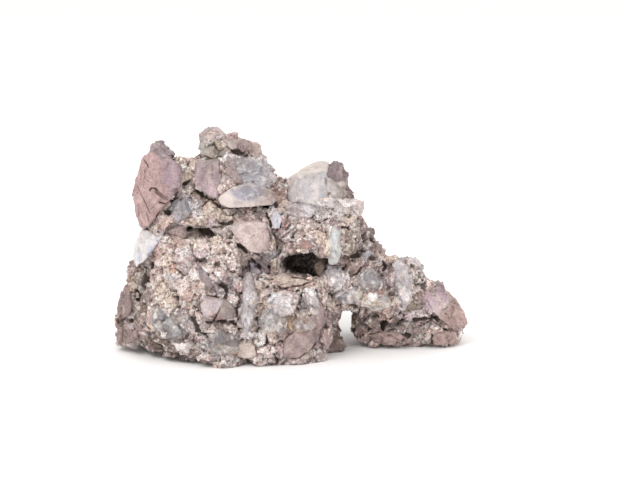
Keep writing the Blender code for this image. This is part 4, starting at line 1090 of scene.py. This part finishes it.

# Crevices: places along each in mm, half width and depth in mm, and darkness, which is soil and painted shade
CREVICES = [
    ([(-77, -19, 140), (-71, -21, 136), (-64, -22, 132), (-58, -23, 128)], 1.4, 2.5, 0.9),
    ([(-57, -24, 127), (-48, -25, 127), (-37, -25, 127)], 1.0, 2, 0.8),
    ([(-20, -24, 128), (-12, -32, 131)], 3, 5, 1),
    ([(-91, -28, 143), (-93, -24, 135), (-96, -27, 128), (-99, -29, 123)], 2.2, 4, 1),
    ([(-88, -16, 145), (-83, -16, 149), (-79, -25, 152)], 1.6, 3, 0.9),
    ([(-74, -20, 107), (-69, -23, 106), (-64, -33, 106)], 3.6, 5, 0.85),
    ([(-91, -25, 110), (-83, -21, 108), (-76, -21, 109)], 1.8, 3, 0.7),
    ([(-58, -27, 115), (-52, -29, 114), (-47, -29, 116)], 1.4, 3, 0.9),
    ([(-18, -29, 122), (-16, -32, 116), (-15, -35, 111)], 1.5, 3, 0.9),
    ([(-14, -34, 110), (-12, -29, 101), (-11, -28, 93)], 1.6, 3, 0.7),
    ([(-49, -38, 106), (-42, -36, 99), (-36, -32, 92)], 1.8, 3, 0.9),
    ([(-31, -33, 85), (-27, -33, 79), (-24, -47, 76)], 1.8, 4, 1),
    ([(-23, -32, 85), (-18, -32, 79), (-19, -37, 75)], 1.8, 4, 1),
    ([(-75, -56, 83), (-70, -59, 80), (-65, -56, 77)], 2, 4, 1),
    ([(-66, -61, 61), (-61, -62, 60), (-57, -61, 60)], 1.4, 3, 0.9),
    ([(-55, -58, 69), (-52, -58, 63), (-53, -59, 59)], 2.6, 4, 0.9),
    ([(-80, -58, 41), (-76, -58, 36), (-75, -59, 31)], 2.2, 4, 0.9),
    ([(-67, -60, 40), (-64, -61, 39)], 1.6, 3, 1),
    ([(-56, -61, 39), (-50, -59, 37), (-46, -57, 38)], 2.6, 4, 0.9),
    ([(-89, -57, 26), (-82, -58, 25)], 2.2, 3, 0.9),
    ([(-73, -60, 28), (-66, -61, 27), (-63, -62, 28)], 2.6, 3, 0.9),
    ([(-120, -17, 74), (-121, -18, 67), (-124, -17, 60), (-122, -25, 56)], 2.6, 5, 1),
    ([(-115, -31, 80), (-116, -31, 74), (-119, -22, 65)], 2.2, 4, 1),
    ([(-127, -19, 54), (-129, -21, 50)], 2.2, 4, 0.9),
    ([(-143, -19, 28), (-139, -22, 22), (-138, -24, 17)], 2, 4, 0.9),
    ([(-17, -54, 59), (-12, -54, 62), (-5, -55, 64)], 1.2, 3, 0.8),
    ([(7, -47, 63), (6, -55, 58), (7, -52, 48), (9, -54, 44)], 1, 3, 0.8),
    ([(-27, -57, 41), (-24, -55, 34), (-26, -55, 29)], 1.4, 3, 0.8),
    ([(-19, -54, 26), (-18, -54, 20)], 1.8, 3, 1),
    ([(22, -46, 61), (25, -44, 52), (29, -44, 44)], 1.8, 3, 0.9),
    ([(28, -42, 37), (31, -42, 30)], 1.8, 3, 1),
    ([(-2, -20, 143), (-2, -28, 137), (0, -32, 132)], 2, 4, 1),
    ([(40, -14, 143), (44, -8, 141)], 2.4, 4, 1),
    ([(43, -29, 111), (48, -28, 110)], 2, 4, 0.9),
    ([(46, -24, 87), (52, -24, 86), (57, -19, 86)], 2.4, 4, 0.9),
    ([(61, -10, 102), (62, -17, 96), (61, -17, 90)], 2.4, 5, 1),
    ([(68, -17, 83), (72, -15, 80)], 1.8, 4, 1),
    ([(76, -11, 21), (83, -13, 24), (91, -12, 26), (95, -12, 26)], 3.2, 7, 1),
    ([(95, -8, 13), (101, -4, 11), (106, -5, 12)], 1.6, 4, 1),
    ([(106, -12, 28), (112, -11, 28), (121, -10, 27), (129, -8, 27)], 2.4, 5, 1),
    ([(132, -5, 16), (139, -3, 14), (145, 0, 15)], 2, 5, 1),
    ([(121, -6, 14), (122, -3, 5)], 1.6, 4, 0.9),
    ([(88, -15, 54), (88, -19, 54)], 1.2, 3, 1),
    ([(92, -22, 77), (96, -22, 76)], 1.6, 4, 1),
    ([(-47, -9, 172), (-41, -7, 172)], 3, 5, 1),
    ([(-70, -10, 171), (-67, -14, 169), (-65, -18, 167)], 2.4, 4, 1),
    ([(-41, -23, 158), (-39, -27, 152), (-40, -36, 149)], 1.6, 3, 0.9),
    ([(52, -18, 41), (56, -14, 38), (59, -16, 39)], 1.4, 3, 0.9),
    ([(-115, -38, 17), (-108, -41, 14), (-103, -45, 12)], 1.4, 3, 0.8),
    ([(52, -16, 33), (56, -16, 30), (60, -14, 26)], 3, 3, 0.9),
    ([(-104, -51, 30), (-98, -56, 28), (-101, -48, 20)], 1.4, 3, 0.8),
    ([(-63, -29, 111), (-56, -28, 112), (-48, -39, 113)], 1.4, 3, 0.8),
    ([(78, -11, 78), (81, -11, 74), (79, -13, 71)], 1.4, 3, 0.9),
    ([(59, -21, 75), (56, -21, 70), (50, -23, 68)], 1.4, 3, 0.8),
]


# The back's fragments, which are drawn at random: how many, their sizes in mm and the seed
BACK_FRAGMENTS, BACK_FRAGMENT_SIZES, BACK_SEED = 170, (6, 15), 78


def scattered(points):
    """Fragments for the back of the rock, as rows like the table's: at random points of the skin, in random
    sizes and colours."""
    rng = np.random.default_rng(BACK_SEED)
    places = points[rng.choice(len(points), BACK_FRAGMENTS, replace=False)]
    names = rng.choice(sorted(FRAGMENT_COLOURS), BACK_FRAGMENTS)
    return [(place, *rng.uniform(*BACK_FRAGMENT_SIZES, 2), name) for place, name in zip(places, names)]


# A fragment's reach as a share of its width and height, its depth as a share of the smaller, and where its
# rim can't be any more, in reaches
FRAGMENT_REACH, FRAGMENT_DEPTH, FRAGMENT_FAR = 0.60, 2.4, 1.8


def fragmented(points, picks, rows):
    """Which fragment each point lies on, or -1, and how far inside it, from 0 at its rim to 1.

    A fragment's rim is an ellipsoid pushed in and out by noise and by the small breaks, so that it is jagged.
    """
    jagged = 0.22 * rough(points, 7, 73) + 0.5 * (picks - 0.5)
    best, which = np.full(len(points), 1.0), np.full(len(points), -1)
    for number, (middle, width, height, _) in enumerate(rows):
        reach = np.array([width, FRAGMENT_DEPTH * min(width, height), height]) * FRAGMENT_REACH
        near = (np.abs(points - middle) < FRAGMENT_FAR * reach).all(axis=1)
        away = np.sqrt((((points[near] - middle) / reach) ** 2).sum(axis=1)) + jagged[near]
        closer = away < best[near]
        spots = np.flatnonzero(near)[closer]
        best[spots], which[spots] = away[closer], number
    return which, np.clip(1 - best, 0, 1)


# How far the crevices' rims wander, in half widths, how far from its start a line is felt past its length,
# in mm, and how much of a distance in Y counts
CREVICE_WANDER, CREVICE_MARGIN, DEPTHWAYS = 0.6, 12, 0.5


def creviced(points):
    """How deep the crevices go at each point, in mm, and how dark their soil and painted shade make them, by
    the distance from their lines."""
    depth, dark = np.zeros(len(points)), np.zeros(len(points))
    wander = CREVICE_WANDER * rough(points, 5, 71)
    for line, width, deep, black in CREVICES:
        for start, end in zip(line[:-1], line[1:]):
            along = np.subtract(end, start)
            near = np.abs(points - start) < np.abs(along).max() + CREVICE_MARGIN
            close = np.flatnonzero(near.all(axis=1))
            part = np.clip((points[close] - start) @ along / (along @ along), 0, 1)
            away = points[close] - start - part[:, None] * along
            gap = np.linalg.norm(away * (1, DEPTHWAYS, 1), axis=1)
            cut = 1 - np.clip(gap / width + wander[close], 0, 1) ** 2
            depth[close] = np.maximum(depth[close], deep * cut)
            dark[close] = np.maximum(dark[close], black * np.clip(1.6 * cut, 0, 1))
    return depth, dark


def softened(values, edges, rounds):
    """Each point's value drawn halfway to the mean of its neighbours', several times over."""
    count = np.bincount(edges.ravel(), minlength=len(values)).astype(float)
    for _ in range(rounds):
        total = np.zeros_like(values)
        for axis in range(values.shape[1]):
            for here, there in ((0, 1), (1, 0)):
                total[:, axis] += np.bincount(edges[:, here], values[edges[:, there], axis], len(values))
        values = 0.5 * values + 0.5 * total / count[:, None]
    return values


def arrays_of(mesh):
    """A mesh's points and their normals in mm, its triangles and its edges, as whole arrays."""
    mesh.calc_loop_triangles()
    points = np.empty(len(mesh.vertices) * 3)
    normals = np.empty(len(mesh.vertices) * 3)
    triangles = np.empty(len(mesh.loop_triangles) * 3, np.int32)
    edges = np.empty(len(mesh.edges) * 2, np.int32)
    mesh.vertices.foreach_get("co", points)
    mesh.vertices.foreach_get("normal", normals)
    mesh.loop_triangles.foreach_get("vertices", triangles)
    mesh.edges.foreach_get("vertices", edges)
    return points.reshape(-1, 3) / MM, normals.reshape(-1, 3), triangles.reshape(-1, 3), edges.reshape(-1, 2)


def half_skin(side):
    """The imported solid's skin in front of or behind a plane, remeshed. The halves overlap at the plane."""
    merged = bmesh.new()
    merged.from_mesh(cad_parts["rock"].data)
    bmesh.ops.remove_doubles(merged, verts=merged.verts, dist=WELD * MM)
    cut = bmesh.ops.bisect_plane(
        merged, geom=merged.verts[:] + merged.edges[:] + merged.faces[:],
        plane_co=(0, (SEAM + side * SEAM_OVERLAP) * MM, 0), plane_no=(0, side, 0), clear_outer=True,
    )
    rim = [part for part in cut["geom_cut"] if isinstance(part, bmesh.types.BMEdge)]
    bmesh.ops.triangle_fill(merged, use_beauty=True, edges=rim)
    bmesh.ops.recalc_face_normals(merged, faces=merged.faces)
    core = bpy.data.meshes.new("core")
    merged.to_mesh(core)
    merged.free()
    shell = bpy.data.objects.new("shell", core)
    bpy.context.scene.collection.objects.link(shell)
    fine = shell.modifiers.new("fine", "REMESH")
    fine.mode = "VOXEL"
    fine.voxel_size = (FRONT_VOXEL if side > 0 else BACK_VOXEL) * MM
    graph = bpy.context.evaluated_depsgraph_get()
    skin = bpy.data.meshes.new_from_object(shell.evaluated_get(graph))
    bpy.data.objects.remove(shell)
    return skin


# How much of each stone the groundmass still covers, from 0 to 1: for each kind, and for single stones
forms = porphyry_forms | chalcedony_forms
COVER = {name: 0.48 for name in porphyry_forms} | {name: 0.56 for name in chalcedony_forms}
COVER |= {
    "left_shoulder": 0.28, "pale_lens": 0.3, "centre_tile": 0.20, "upper_tile": 0.26, "blue_core_sliver": 0.30,
    "dark_crag": 0.2, "dark_chip": 0.22, "slope_crag": 0.25, "slope_chip": 0.25, "leg_knob": 0.35,
    "flank_slab": 0.42, "boulder_chip": 0.34, "chip_flank": 0.34, "tan_foot": 0.38, "slate_facet": 0.3,
    "slate_low": 0.3, "crown_stone": 0.36, "neck_blue_cluster": 0.74, "banded_block": 0.24,
    "banded_side": 0.28, "green_pod": 0.36, "left_pod": 0.28, "leg_toe": 0.24, "leg_cap": 0.25,
    "cave_brow": 0.55, "left_flank_shard": 0.6, "base_left_shard": 0.6, "lobe_left": 0.6,
    "lobe_right": 0.6, "arch_wedge": 0.2,
}

# The opening under the bridge, which nothing may close
ARCH = stone_breaks((47.5, 0, 21), (10, 160, 26), (0, 0, 0), 14, 93, ROUND_REACH, None)

# How dark each hollow is painted, for painted shade and its soil
HOLLOW_SHADE_AND_SOIL = {
    "front_cave": 0.85, "dark_pit": 0.25, "leg_crevice": 0.5, "fin_crease": 0.15, "tile_crease": 0.05,
    "left_flank_pit": 0.2,
}

# Colours that the breaks of the groundmass turn to, and how many of them do
BREAK_COLOURS = [
    ((0.610, 0.515, 0.455), 0.17), ((0.440, 0.305, 0.290), 0.14), ((0.330, 0.262, 0.268), 0.10),
    ((0.470, 0.450, 0.465), 0.09), ((0.800, 0.750, 0.715), 0.11), ((0.150, 0.105, 0.090), 0.09),
]

# Breaks of the groundmass: size in mm, seed, the share of their height that shows, and how strongly coloured
GROUND_BREAKS = ((13, 21, 0.8, 0.35), (6.2, 22, 0.6, 0.45), (3.1, 23, 0.55, 0.50))

# Fragments: colours that gleam and by how much, how far they stand out in mm, how strongly they are coloured
GLOSSY = (
    "cream", "white_pink", "white", "lilac", "ice", "blue_grey", "blue_white", "blue_slate", "straw",
    "lilac_grey",
)
FRAGMENT_GLOSS, FRAGMENT_LIFT, FRAGMENT_TONE, FRAGMENT_STRENGTH = 0.34, (0.4, 2.2), (1.06, 1, 0.97), 0.85

# Heights in mm: what counts as the flat sole, what the skin keeps above the floor, how deep it sinks behind a
# stone that shows and in the groove round it, and how far it may stand out, also at the arch
SOLE_TOP, LEAST_HEIGHT, SUNK, GROOVE, MOST_RELIEF, ARCH_RELIEF, ARCH_LOSS = 0.8, 0.2, 4.0, 2.4, 2.2, 3, 3.4
ARCH_RIM = 3.5

# Painted shade near the floor, which makes the rock darker there: the share of light at the floor, and how high
# that goes in mm
FLOOR_SHADE, FLOOR_SHADE_HEIGHT = 0.64, 12


# Stones in the skin: how near in mm they are felt and how widely that is smoothed, how sharply the shown part
# ends, how far out of a stone it ends and fades, and the same for the groove round it, with its strength
TOUCHING, TOUCH_ROUNDS, SHOWN_SHARPNESS = 0.9, 34, 6
SHOWN_END, SHOWN_FADE, GROOVE_PLACE, GROOVE_WIDTH, GROOVE_STRENGTH = 1.4, 0.8, 1.2, 1.8, 0.4


def stones_through(points, edges):
    """For each point how far a stone shows, how far the skin sinks behind it, how much of a groove there is
    round it, and how far the nearest stone is, in mm."""
    away = np.stack([depth_in(points, form) for form in forms.values()])
    nearest = away.min(axis=0)
    cover = np.array([COVER[name] for name in forms])[away.argmin(axis=0)]
    within = softened((nearest < TOUCHING).astype(float)[:, None], edges, TOUCH_ROUNDS)[:, 0]
    uneven = 0.26 * rough(points, 11, 31) + 0.12 * rough(points, 3.6, 32)
    shown = np.clip((within + uneven * (1.15 - within) - cover) * SHOWN_SHARPNESS, 0, 1)
    shown = shown * np.clip((SHOWN_END - nearest) / SHOWN_FADE, 0, 1)
    bare = shown * np.clip(np.maximum(0.5 - nearest, (within - 0.80) * 8), 0, 1)
    groove = GROOVE_STRENGTH * np.clip(1 - np.abs(nearest - GROOVE_PLACE) / GROOVE_WIDTH, 0, 1)
    return shown, bare, groove * np.clip(1.6 * swell(points, 9, 33) + 0.1, 0, 1), nearest


def hollowed(points):
    """How dark the hollows make each point, with wavy rims: painted shade and soil."""
    wavy = 2.4 * rough(points, 8, 27)
    return np.max([
        dark * (1 - np.clip((depth_in(points, HOLLOWS[name]) + wavy + 1.5) / 3, 0, 1))
        for name, dark in HOLLOW_SHADE_AND_SOIL.items()
    ], axis=0)


def weathered(skin, rows):
    """A remeshed half of the solid, broken, pitted and sunk round the stones, with its colours and marks."""
    points, normals, triangles, edges = arrays_of(skin)
    rows = rows or scattered(points)
    fragment_shades = np.array([FRAGMENT_COLOURS[row[3]] for row in rows] + [(0, 0, 0)]) * FRAGMENT_TONE
    fragment_gloss = FRAGMENT_GLOSS * np.array([row[3] in GLOSSY for row in rows] + [False])
    fragment_lift = np.random.default_rng(77).uniform(*FRAGMENT_LIFT, len(rows) + 1)
    sole = points[:, 2] < SOLE_TOP
    points = np.where(sole[:, None], points, softened(points, edges, 3))

    shown, bare, rim, nearest = stones_through(points, edges)
    carved, carved_shade_and_soil = creviced(points)
    opened = np.clip(1 - depth_in(points, ARCH) / ARCH_RIM, 0, 1)

    heights, gaps, picks = zip(*(broken(points, size, seed) for size, seed, _, _ in GROUND_BREAKS))
    which, inside = fragmented(points, picks[-1], rows)
    froth = 1 - np.abs(rough(points, 6.5, 26)) * 1.7
    pits = np.clip(rough(points, 6, 24) - 0.38, 0, 0.5) * 2 * (inside == 0)
    seams = np.clip(1 - gaps[0] * 9, 0, 1) * np.clip(swell(points, 12, 25) + 0.45, 0, 1)
    relief = sum(share * height for height, (_, _, share, _) in zip(heights, GROUND_BREAKS))
    relief = relief + 0.4 * (froth - 0.5) - 2.2 * pits - seams
    relief += fragment_lift[which] * np.clip(4 * inside, 0, 1)
    relief = relief * (1 - 0.75 * rim) - GROOVE * rim + 0.4 * np.clip(SHOWN_END - nearest, 0, 1)
    relief = np.minimum(relief, MOST_RELIEF) * (1 - bare) - SUNK * bare - carved
    relief = np.where(sole, 0, np.minimum(relief, ARCH_RELIEF - ARCH_LOSS * opened))
    moved = points + normals * relief[:, None]
    moved[:, 2] = np.where(sole, 0, np.maximum(moved[:, 2], LEAST_HEIGHT))

    holed = hollowed(points)
    bowl = ((softened(moved, edges, 9) - moved) * normals).sum(axis=1)
    # The hollow mark: soil and painted shade, darkest in concave places, pits, seams, the grooves round the
    # stones, hollows and crevices
    crevice_soil_and_shade = np.clip(0.60 * bowl - 0.22, 0, 1) + 0.6 * pits + 0.5 * seams
    crevice_soil_and_shade = np.clip(crevice_soil_and_shade + 0.15 * np.clip(1 - gaps[-1] * 7, 0, 1) + 0.7 * rim + holed, 0, 1)
    crevice_soil_and_shade = np.maximum(crevice_soil_and_shade, carved_shade_and_soil)
    colours = stained(np.tile(GROUND, (len(points), 1)), moved, STAINS_SHADE_AND_LIGHT, GROUND_STAINING)
    for pick, (_, _, _, strength) in zip(picks, GROUND_BREAKS):
        colours = mottled(colours, pick, BREAK_COLOURS, strength)
    own = fragment_shades[which] * (0.80 + 0.40 * picks[-1][:, None])
    colours = drawn(colours, own, FRAGMENT_STRENGTH * (inside > 0))
    # Painted shade: darker towards the floor
    floor_shade = FLOOR_SHADE + (1 - FLOOR_SHADE) * np.clip(moved[:, 2] / FLOOR_SHADE_HEIGHT, 0, 1)
    # Painted highlight: lighter on convex crests, where bowl is below zero
    colours = colours * (floor_shade * (1 + 0.45 * np.clip(-bowl - 0.1, 0, 0.8)))[:, None]
    gloss = fragment_gloss[which] * (inside > 0) + 0.3 * (picks[-1] > 0.86)
    free = (shown < 0.3) & (opened < 0.2) & (moved[:, 2] > 1.5) & (carved < 0.8)
    return moved, normals, triangles, colours, {"hollow": crevice_soil_and_shade, "gloss": gloss}, free, inside


# Groundmass is sandy at 3.2 mm and silty at 1.3 mm, in ragged cells 2.3 mm wide of which a fifth each are
# pale, dark and red, with soil between its ridges, and soil and painted shade in its crevices
groundmass = Finish("groundmass", specular_ior_level=0.4)
tint = groundmass.mark("tint", "Color")
sand = groundmass.grain(0.0032, detail=6, roughness=0.72)
colour = groundmass.scaled(tint, 0.50 + 0.84 * sand)
silt = groundmass.grain(0.0013, detail=3, roughness=0.75)
colour = groundmass.scaled(colour, 0.50 + 0.98 * silt.rise(0.32, 0.68))
bent = bent_place(groundmass, 0.003, 0.0022)
cells = groundmass.flecks(0.0023, "Color", vector=bent)
pick = groundmass.node("ShaderNodeSeparateColor", None, {0: cells})
other = groundmass.node("ShaderNodeSeparateColor", None, {0: cells}, output=1)
colour = groundmass.mix(0.60 * pick.rise(0.80, 0.84), colour, (0.76, 0.71, 0.67))
colour = groundmass.mix(0.60 * (1 - pick.rise(0.16, 0.20)), colour, (0.14, 0.098, 0.085))
colour = groundmass.mix(0.50 * other.rise(0.80, 0.84), colour, (0.38, 0.26, 0.25))
ridges = groundmass.ridged(0.0045)
colour = groundmass.mix(0.42 * (1 - ridges.rise(0.05, 0.45)), colour, SOIL_AND_SHADE)
# Soil and painted shade where the hollow mark is high
colour = groundmass.mix(groundmass.mark("hollow").rise(0.15, 0.95) * 0.93, colour, SOIL_AND_SHADE)
height = 0.5 * sand + 0.7 * ridges + 0.35 * pick + 0.35 * silt
groundmass.wear(colour, 0.64 + 0.25 * sand - groundmass.mark("gloss"), groundmass.dent(height, 0.0010, 0.8))

halves, skin_triangles, count = [], [], 0
for name, side, rows in (("groundmass_front", 1, FRAGMENTS), ("groundmass_back", -1, None)):
    points, normals, triangles, colours, marks, free, inside = weathered(half_skin(side), rows)
    made_piece(name, points, triangles, groundmass, colours, marks)
    halves.append((points, normals, colours, free, inside))
    skin_triangles.append(triangles + count)
    count += len(points)
skin_triangles = np.vstack(skin_triangles)
skin_points, skin_normals, skin_colours, skin_free, skin_inside = map(np.concatenate, zip(*halves))


# Rubble and grit: chips of porphyry, chalcedony and older rock, set in the groundmass at every size.
# They are sieved here into coarse, middling and fine, and each sieve's grains are one mesh.
# Each grain is a ball cut by flat breaks, flattened and bedded with most of it out of sight.

# Kinds of grain: colour, how many of them, and how dull they are
GRIT_COLOURS = [
    ((0.550, 0.475, 0.425), 0.20, 0.75), ((0.430, 0.335, 0.290), 0.14, 0.80),
    ((0.395, 0.290, 0.288), 0.17, 0.72), ((0.300, 0.250, 0.262), 0.12, 0.70),
    ((0.440, 0.448, 0.490), 0.13, 0.30), ((0.680, 0.660, 0.650), 0.10, 0.28),
    ((0.150, 0.112, 0.100), 0.10, 0.80), ((0.440, 0.340, 0.270), 0.04, 0.60),
]

# The breaks of each grain: how many, how far out on a unit ball, and how sharp the edges between them
GRAIN_BREAKS, GRAIN_REACH, GRAIN_SHARPNESS = 7, (0.32, 0.72), 30

# A grain's smallest and largest stretch across and outwards, how far it leans, and how deep it sinks in widths
LEAST_STRETCH, MOST_STRETCH, LEAN, SINK = (1.3, 1.0, 0.6), (1.8, 1.5, 1.1), 0.35, (0.28, 0.44)

# Each sieve: grains, smallest and largest width in mm, rounds of splitting the ball's faces, seed, and how far
# onto a fragment they may lie
SIEVES = {
    "coarse_rubble": (70, 7.0, 12.0, 3, 201, 0.05),
    "middling_rubble": (420, 3.6, 7.0, 2, 202, 0.05),
    "fine_grit": (5200, 1.3, 3.2, 1, 203, 0.35),
}


def ball_of(subdivisions):
    """Directions and triangles of a ball of triangles."""
    ball = bmesh.new()
    bmesh.ops.create_icosphere(ball, subdivisions=subdivisions, radius=1.0)
    directions = np.array([corner.co for corner in ball.verts])
    triangles = np.array([[corner.index for corner in face.verts] for face in ball.faces])
    ball.free()
    return directions / np.linalg.norm(directions, axis=1, keepdims=True), triangles


# How many places are drawn for each grain, of which those that are too close are left out
TRIES = 4


def sown(rng, count, gap, clear):
    """Places, normals and colours for grains, on the skin's triangles by area, where the skin is free.

    Of two places that fall in one cell of a lattice of that gap, the first stays.
    """
    corners = skin_points[skin_triangles]
    across = np.cross(corners[:, 1] - corners[:, 0], corners[:, 2] - corners[:, 0])
    area = np.linalg.norm(across, axis=1) * (skin_free & (skin_inside < clear))[skin_triangles].all(axis=1)
    chosen = rng.choice(len(area), size=TRIES * count, p=area / area.sum())
    places = corners[chosen].mean(axis=1)
    cells = np.floor(places / gap).astype(np.int64)
    _, first = np.unique(cells, axis=0, return_index=True)
    kept = np.sort(first)[:count]
    nearest = skin_triangles[chosen[kept], 0]
    return places[kept], skin_normals[nearest], skin_colours[nearest]


def grains(rng, places, facing, widths, subdivisions, sink):
    """Grains as one set of points and triangles, and the number of each point's own grain.

    A grain's point lies along direction d at 1 / (sum of (d.n / reach)^p)^(1/p), stretched, turned to the
    surface's normal, and sunk along that by a share of its width.
    """
    ball, ball_triangles = ball_of(subdivisions)
    count = len(places)
    normals = rng.normal(size=(count, GRAIN_BREAKS, 3))
    normals /= np.linalg.norm(normals, axis=2, keepdims=True)
    reaches = rng.uniform(*GRAIN_REACH, (count, GRAIN_BREAKS))
    pull = np.clip(np.einsum("vk,gbk->gvb", ball, normals) / reaches[:, None, :], 0, None)
    gauge = (1 + (pull**GRAIN_SHARPNESS).sum(axis=2)) ** (1 / GRAIN_SHARPNESS)
    shape = ball[None] / gauge[:, :, None] * rng.uniform(LEAST_STRETCH, MOST_STRETCH, (count, 1, 3))
    side = np.cross(facing, rng.normal(size=(count, 3)))
    side /= np.linalg.norm(side, axis=1, keepdims=True)
    facing = facing + LEAN * rng.normal(size=(count, 3))
    facing /= np.linalg.norm(facing, axis=1, keepdims=True)
    front = np.cross(facing, side)
    frames = np.stack([side, front, facing], axis=1)
    middle = places - facing * (sink * widths)[:, None]
    points = middle[:, None] + np.einsum("gvk,gkj->gvj", shape, frames) * widths[:, None, None] / 2
    triangles = ball_triangles[None] + len(ball) * np.arange(count)[:, None, None]
    return points.reshape(-1, 3), triangles.reshape(-1, 3), np.repeat(np.arange(count), len(ball))


# Grit is like the groundmass, sandy and silty, but with specks of soil for cells
grit = Finish("grit", specular_ior_level=0.45)
tint = grit.mark("tint", "Color")
sand = grit.grain(0.0030, detail=6, roughness=0.72)
colour = grit.scaled(tint, 0.54 + 0.78 * sand)
silt = grit.grain(0.0013, detail=3, roughness=0.75)
colour = grit.scaled(colour, 0.54 + 0.90 * silt.rise(0.32, 0.68))
specks = 1 - grit.flecks(0.0019, vector=bent_place(grit, 0.003, 0.002)).rise(0.12, 0.26)
colour = grit.mix(0.45 * specks, colour, (0.13, 0.095, 0.085))
ridges = grit.ridged(0.0045)
colour = grit.mix(0.35 * (1 - ridges.rise(0.05, 0.45)), colour, SOIL_AND_SHADE)
gloss = grit.mark("gloss")
height = 0.5 * sand + 0.6 * ridges
grit.wear(colour, gloss + 0.2 * sand, grit.dent(height, 0.0009, 0.8))

# Stones wedged in openings: middle and full size in mm, seed and colour
WEDGED = [
    ((26, -22, 78), (9, 24, 15), 501, "umber"), ((-91, -26, 109), (17, 18, 9), 505, "mauve_brown"),
    ((-3, -26, 71), (14, 18, 6), 506, "tan"), ((-38, -1, 176), (16, 16, 10), 507, "mauve_brown"),
    ((-20, -28, 82), (9, 10, 12), 502, "lilac_grey"),
]

# How they are all turned, in degrees, their flat breaks, how far out those lie, their front face and relief,
# and the spacing of their points in mm
WEDGED_TURN, WEDGED_BREAKS, WEDGED_REACH, WEDGED_FACE, WEDGED_UNEVEN = (10, 15, -10), 8, (0.62, 0.92), 0.62, 0.8
WEDGED_SPACING, WEDGED_GLOSS = 0.9, 0.6

skins, shades = [], []
for middle, size, seed, name in WEDGED:
    form = stone_breaks(middle, size, WEDGED_TURN, WEDGED_BREAKS, seed, WEDGED_REACH, WEDGED_FACE)
    skins.append(stone_skin(form, WEDGED_SPACING, scooped, WEDGED_UNEVEN))
    shades.append(FRAGMENT_COLOURS[name])
points, triangles, edge, owner = joined(skins)
shade = np.array(shades)[owner] * (0.84 + 0.32 * broken(points, 3.6, 41)[2][:, None])
made_piece("wedged_stones", points, triangles, grit, shade, {"gloss": WEDGED_GLOSS})

# Grains of one sieve lie this share of the smallest width apart at least, small ones are the more frequent by
# this power, and half of a grain's colour is that of its bed
SIEVE_GAP, SMALLNESS, BED_SHARE = 0.75, 1.5, 0.5

for name, (count, small, large, subdivisions, seed, clear) in SIEVES.items():
    rng = np.random.default_rng(seed)
    places, facing, bed = sown(rng, count, SIEVE_GAP * small, clear)
    widths = small * (large / small) ** (rng.uniform(0, 1, len(places)) ** SMALLNESS)
    sink = rng.uniform(*SINK, len(places))
    points, triangles, owner = grains(rng, places, facing, widths, subdivisions, sink)
    shares = np.array([share for _, share, _ in GRIT_COLOURS])
    kinds = rng.choice(len(GRIT_COLOURS), size=len(places), p=shares / shares.sum())
    own = np.array([colour for colour, _, _ in GRIT_COLOURS])[kinds]
    own = own * rng.lognormal(0, 0.12, (len(places), 1)) * rng.normal(1, 0.03, (len(places), 3))
    light = np.clip(bed.mean(axis=1, keepdims=True) / MEAN_LIGHT, 0.25, 1.4)
    # Half of a grain's colour is its bed's, with the bed's painted shade and painted light
    own = (1 - BED_SHARE) * own * light + BED_SHARE * bed
    marks = {"gloss": np.array([dull for _, _, dull in GRIT_COLOURS])[kinds][owner] - 0.1}
    made_piece(name, points, triangles, grit, own[owner], marks, smooth=False)


# The studio: a white floor that runs far past the view, a broad lamp above and to the left, weaker ones to
# the right and behind, and an even white sky. The camera stands a little above the rock.

floor_mesh = bpy.data.meshes.new("floor")
FLOOR_REACH = 14.0
floor_mesh.from_pydata(
    [(x * FLOOR_REACH, y * FLOOR_REACH, 0) for x, y in ((-1, -1), (1, -1), (1, 1), (-1, 1))], [], [(0, 1, 2, 3)]
)
floor = bpy.data.objects.new("floor", floor_mesh)
bpy.context.scene.collection.objects.link(floor)
paper = Finish("paper", base_color=(0.93, 0.93, 0.93, 1), roughness=0.9, specular_ior_level=0.1)
floor_mesh.materials.append(paper.material)
floor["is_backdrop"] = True


def lamp(name, place, target, side, power):
    """A square soft box at a place, turned to its target."""
    light = bpy.data.lights.new(name, "AREA")
    light.shape = "SQUARE"
    light.size = side
    light.energy = power
    made = bpy.data.objects.new(name, light)
    made.location = place
    made.rotation_euler = (Vector(target) - Vector(place)).to_track_quat("-Z", "Y").to_euler()
    bpy.context.scene.collection.objects.link(made)


lamp("key", (-0.9, -1.1, 1.5), (0, 0, 0.08), 0.9, 16)
lamp("fill", (1.3, -1.2, 0.9), (0, 0, 0.08), 0.9, 4)
lamp("back", (0.2, 1.4, 1.3), (0, 0, 0.1), 0.9, 5)

world = bpy.data.worlds.new("studio")
world.use_nodes = True
world.node_tree.nodes["Background"].inputs["Color"].default_value = (1, 0.978, 0.965, 1)
world.node_tree.nodes["Background"].inputs["Strength"].default_value = 1.1
bpy.context.scene.world = world
bpy.context.scene.view_settings.view_transform = "Standard"

# The camera: what it looks at and from how far in metres, its angle above the floor, and its lens, from how
# many metres a pixel of the photograph covers at the rock
AIM = Vector((0.019, 0, 0.0957))
ELEVATION, DISTANCE = math.radians(12), 1.3
SENSOR_WIDTH, SCALE_AT_AIM, PICTURE_WIDTH = 36, 0.0008475, 625
camera_data = bpy.data.cameras.new("camera")
camera_data.sensor_width = SENSOR_WIDTH
camera_data.lens = SENSOR_WIDTH * DISTANCE / SCALE_AT_AIM / PICTURE_WIDTH
camera = bpy.data.objects.new("camera", camera_data)
camera.location = AIM + DISTANCE * Vector((0, -math.cos(ELEVATION), math.sin(ELEVATION)))
camera.rotation_euler = (AIM - camera.location).to_track_quat("-Z", "Y").to_euler()
bpy.context.scene.collection.objects.link(camera)
bpy.context.scene.camera = camera
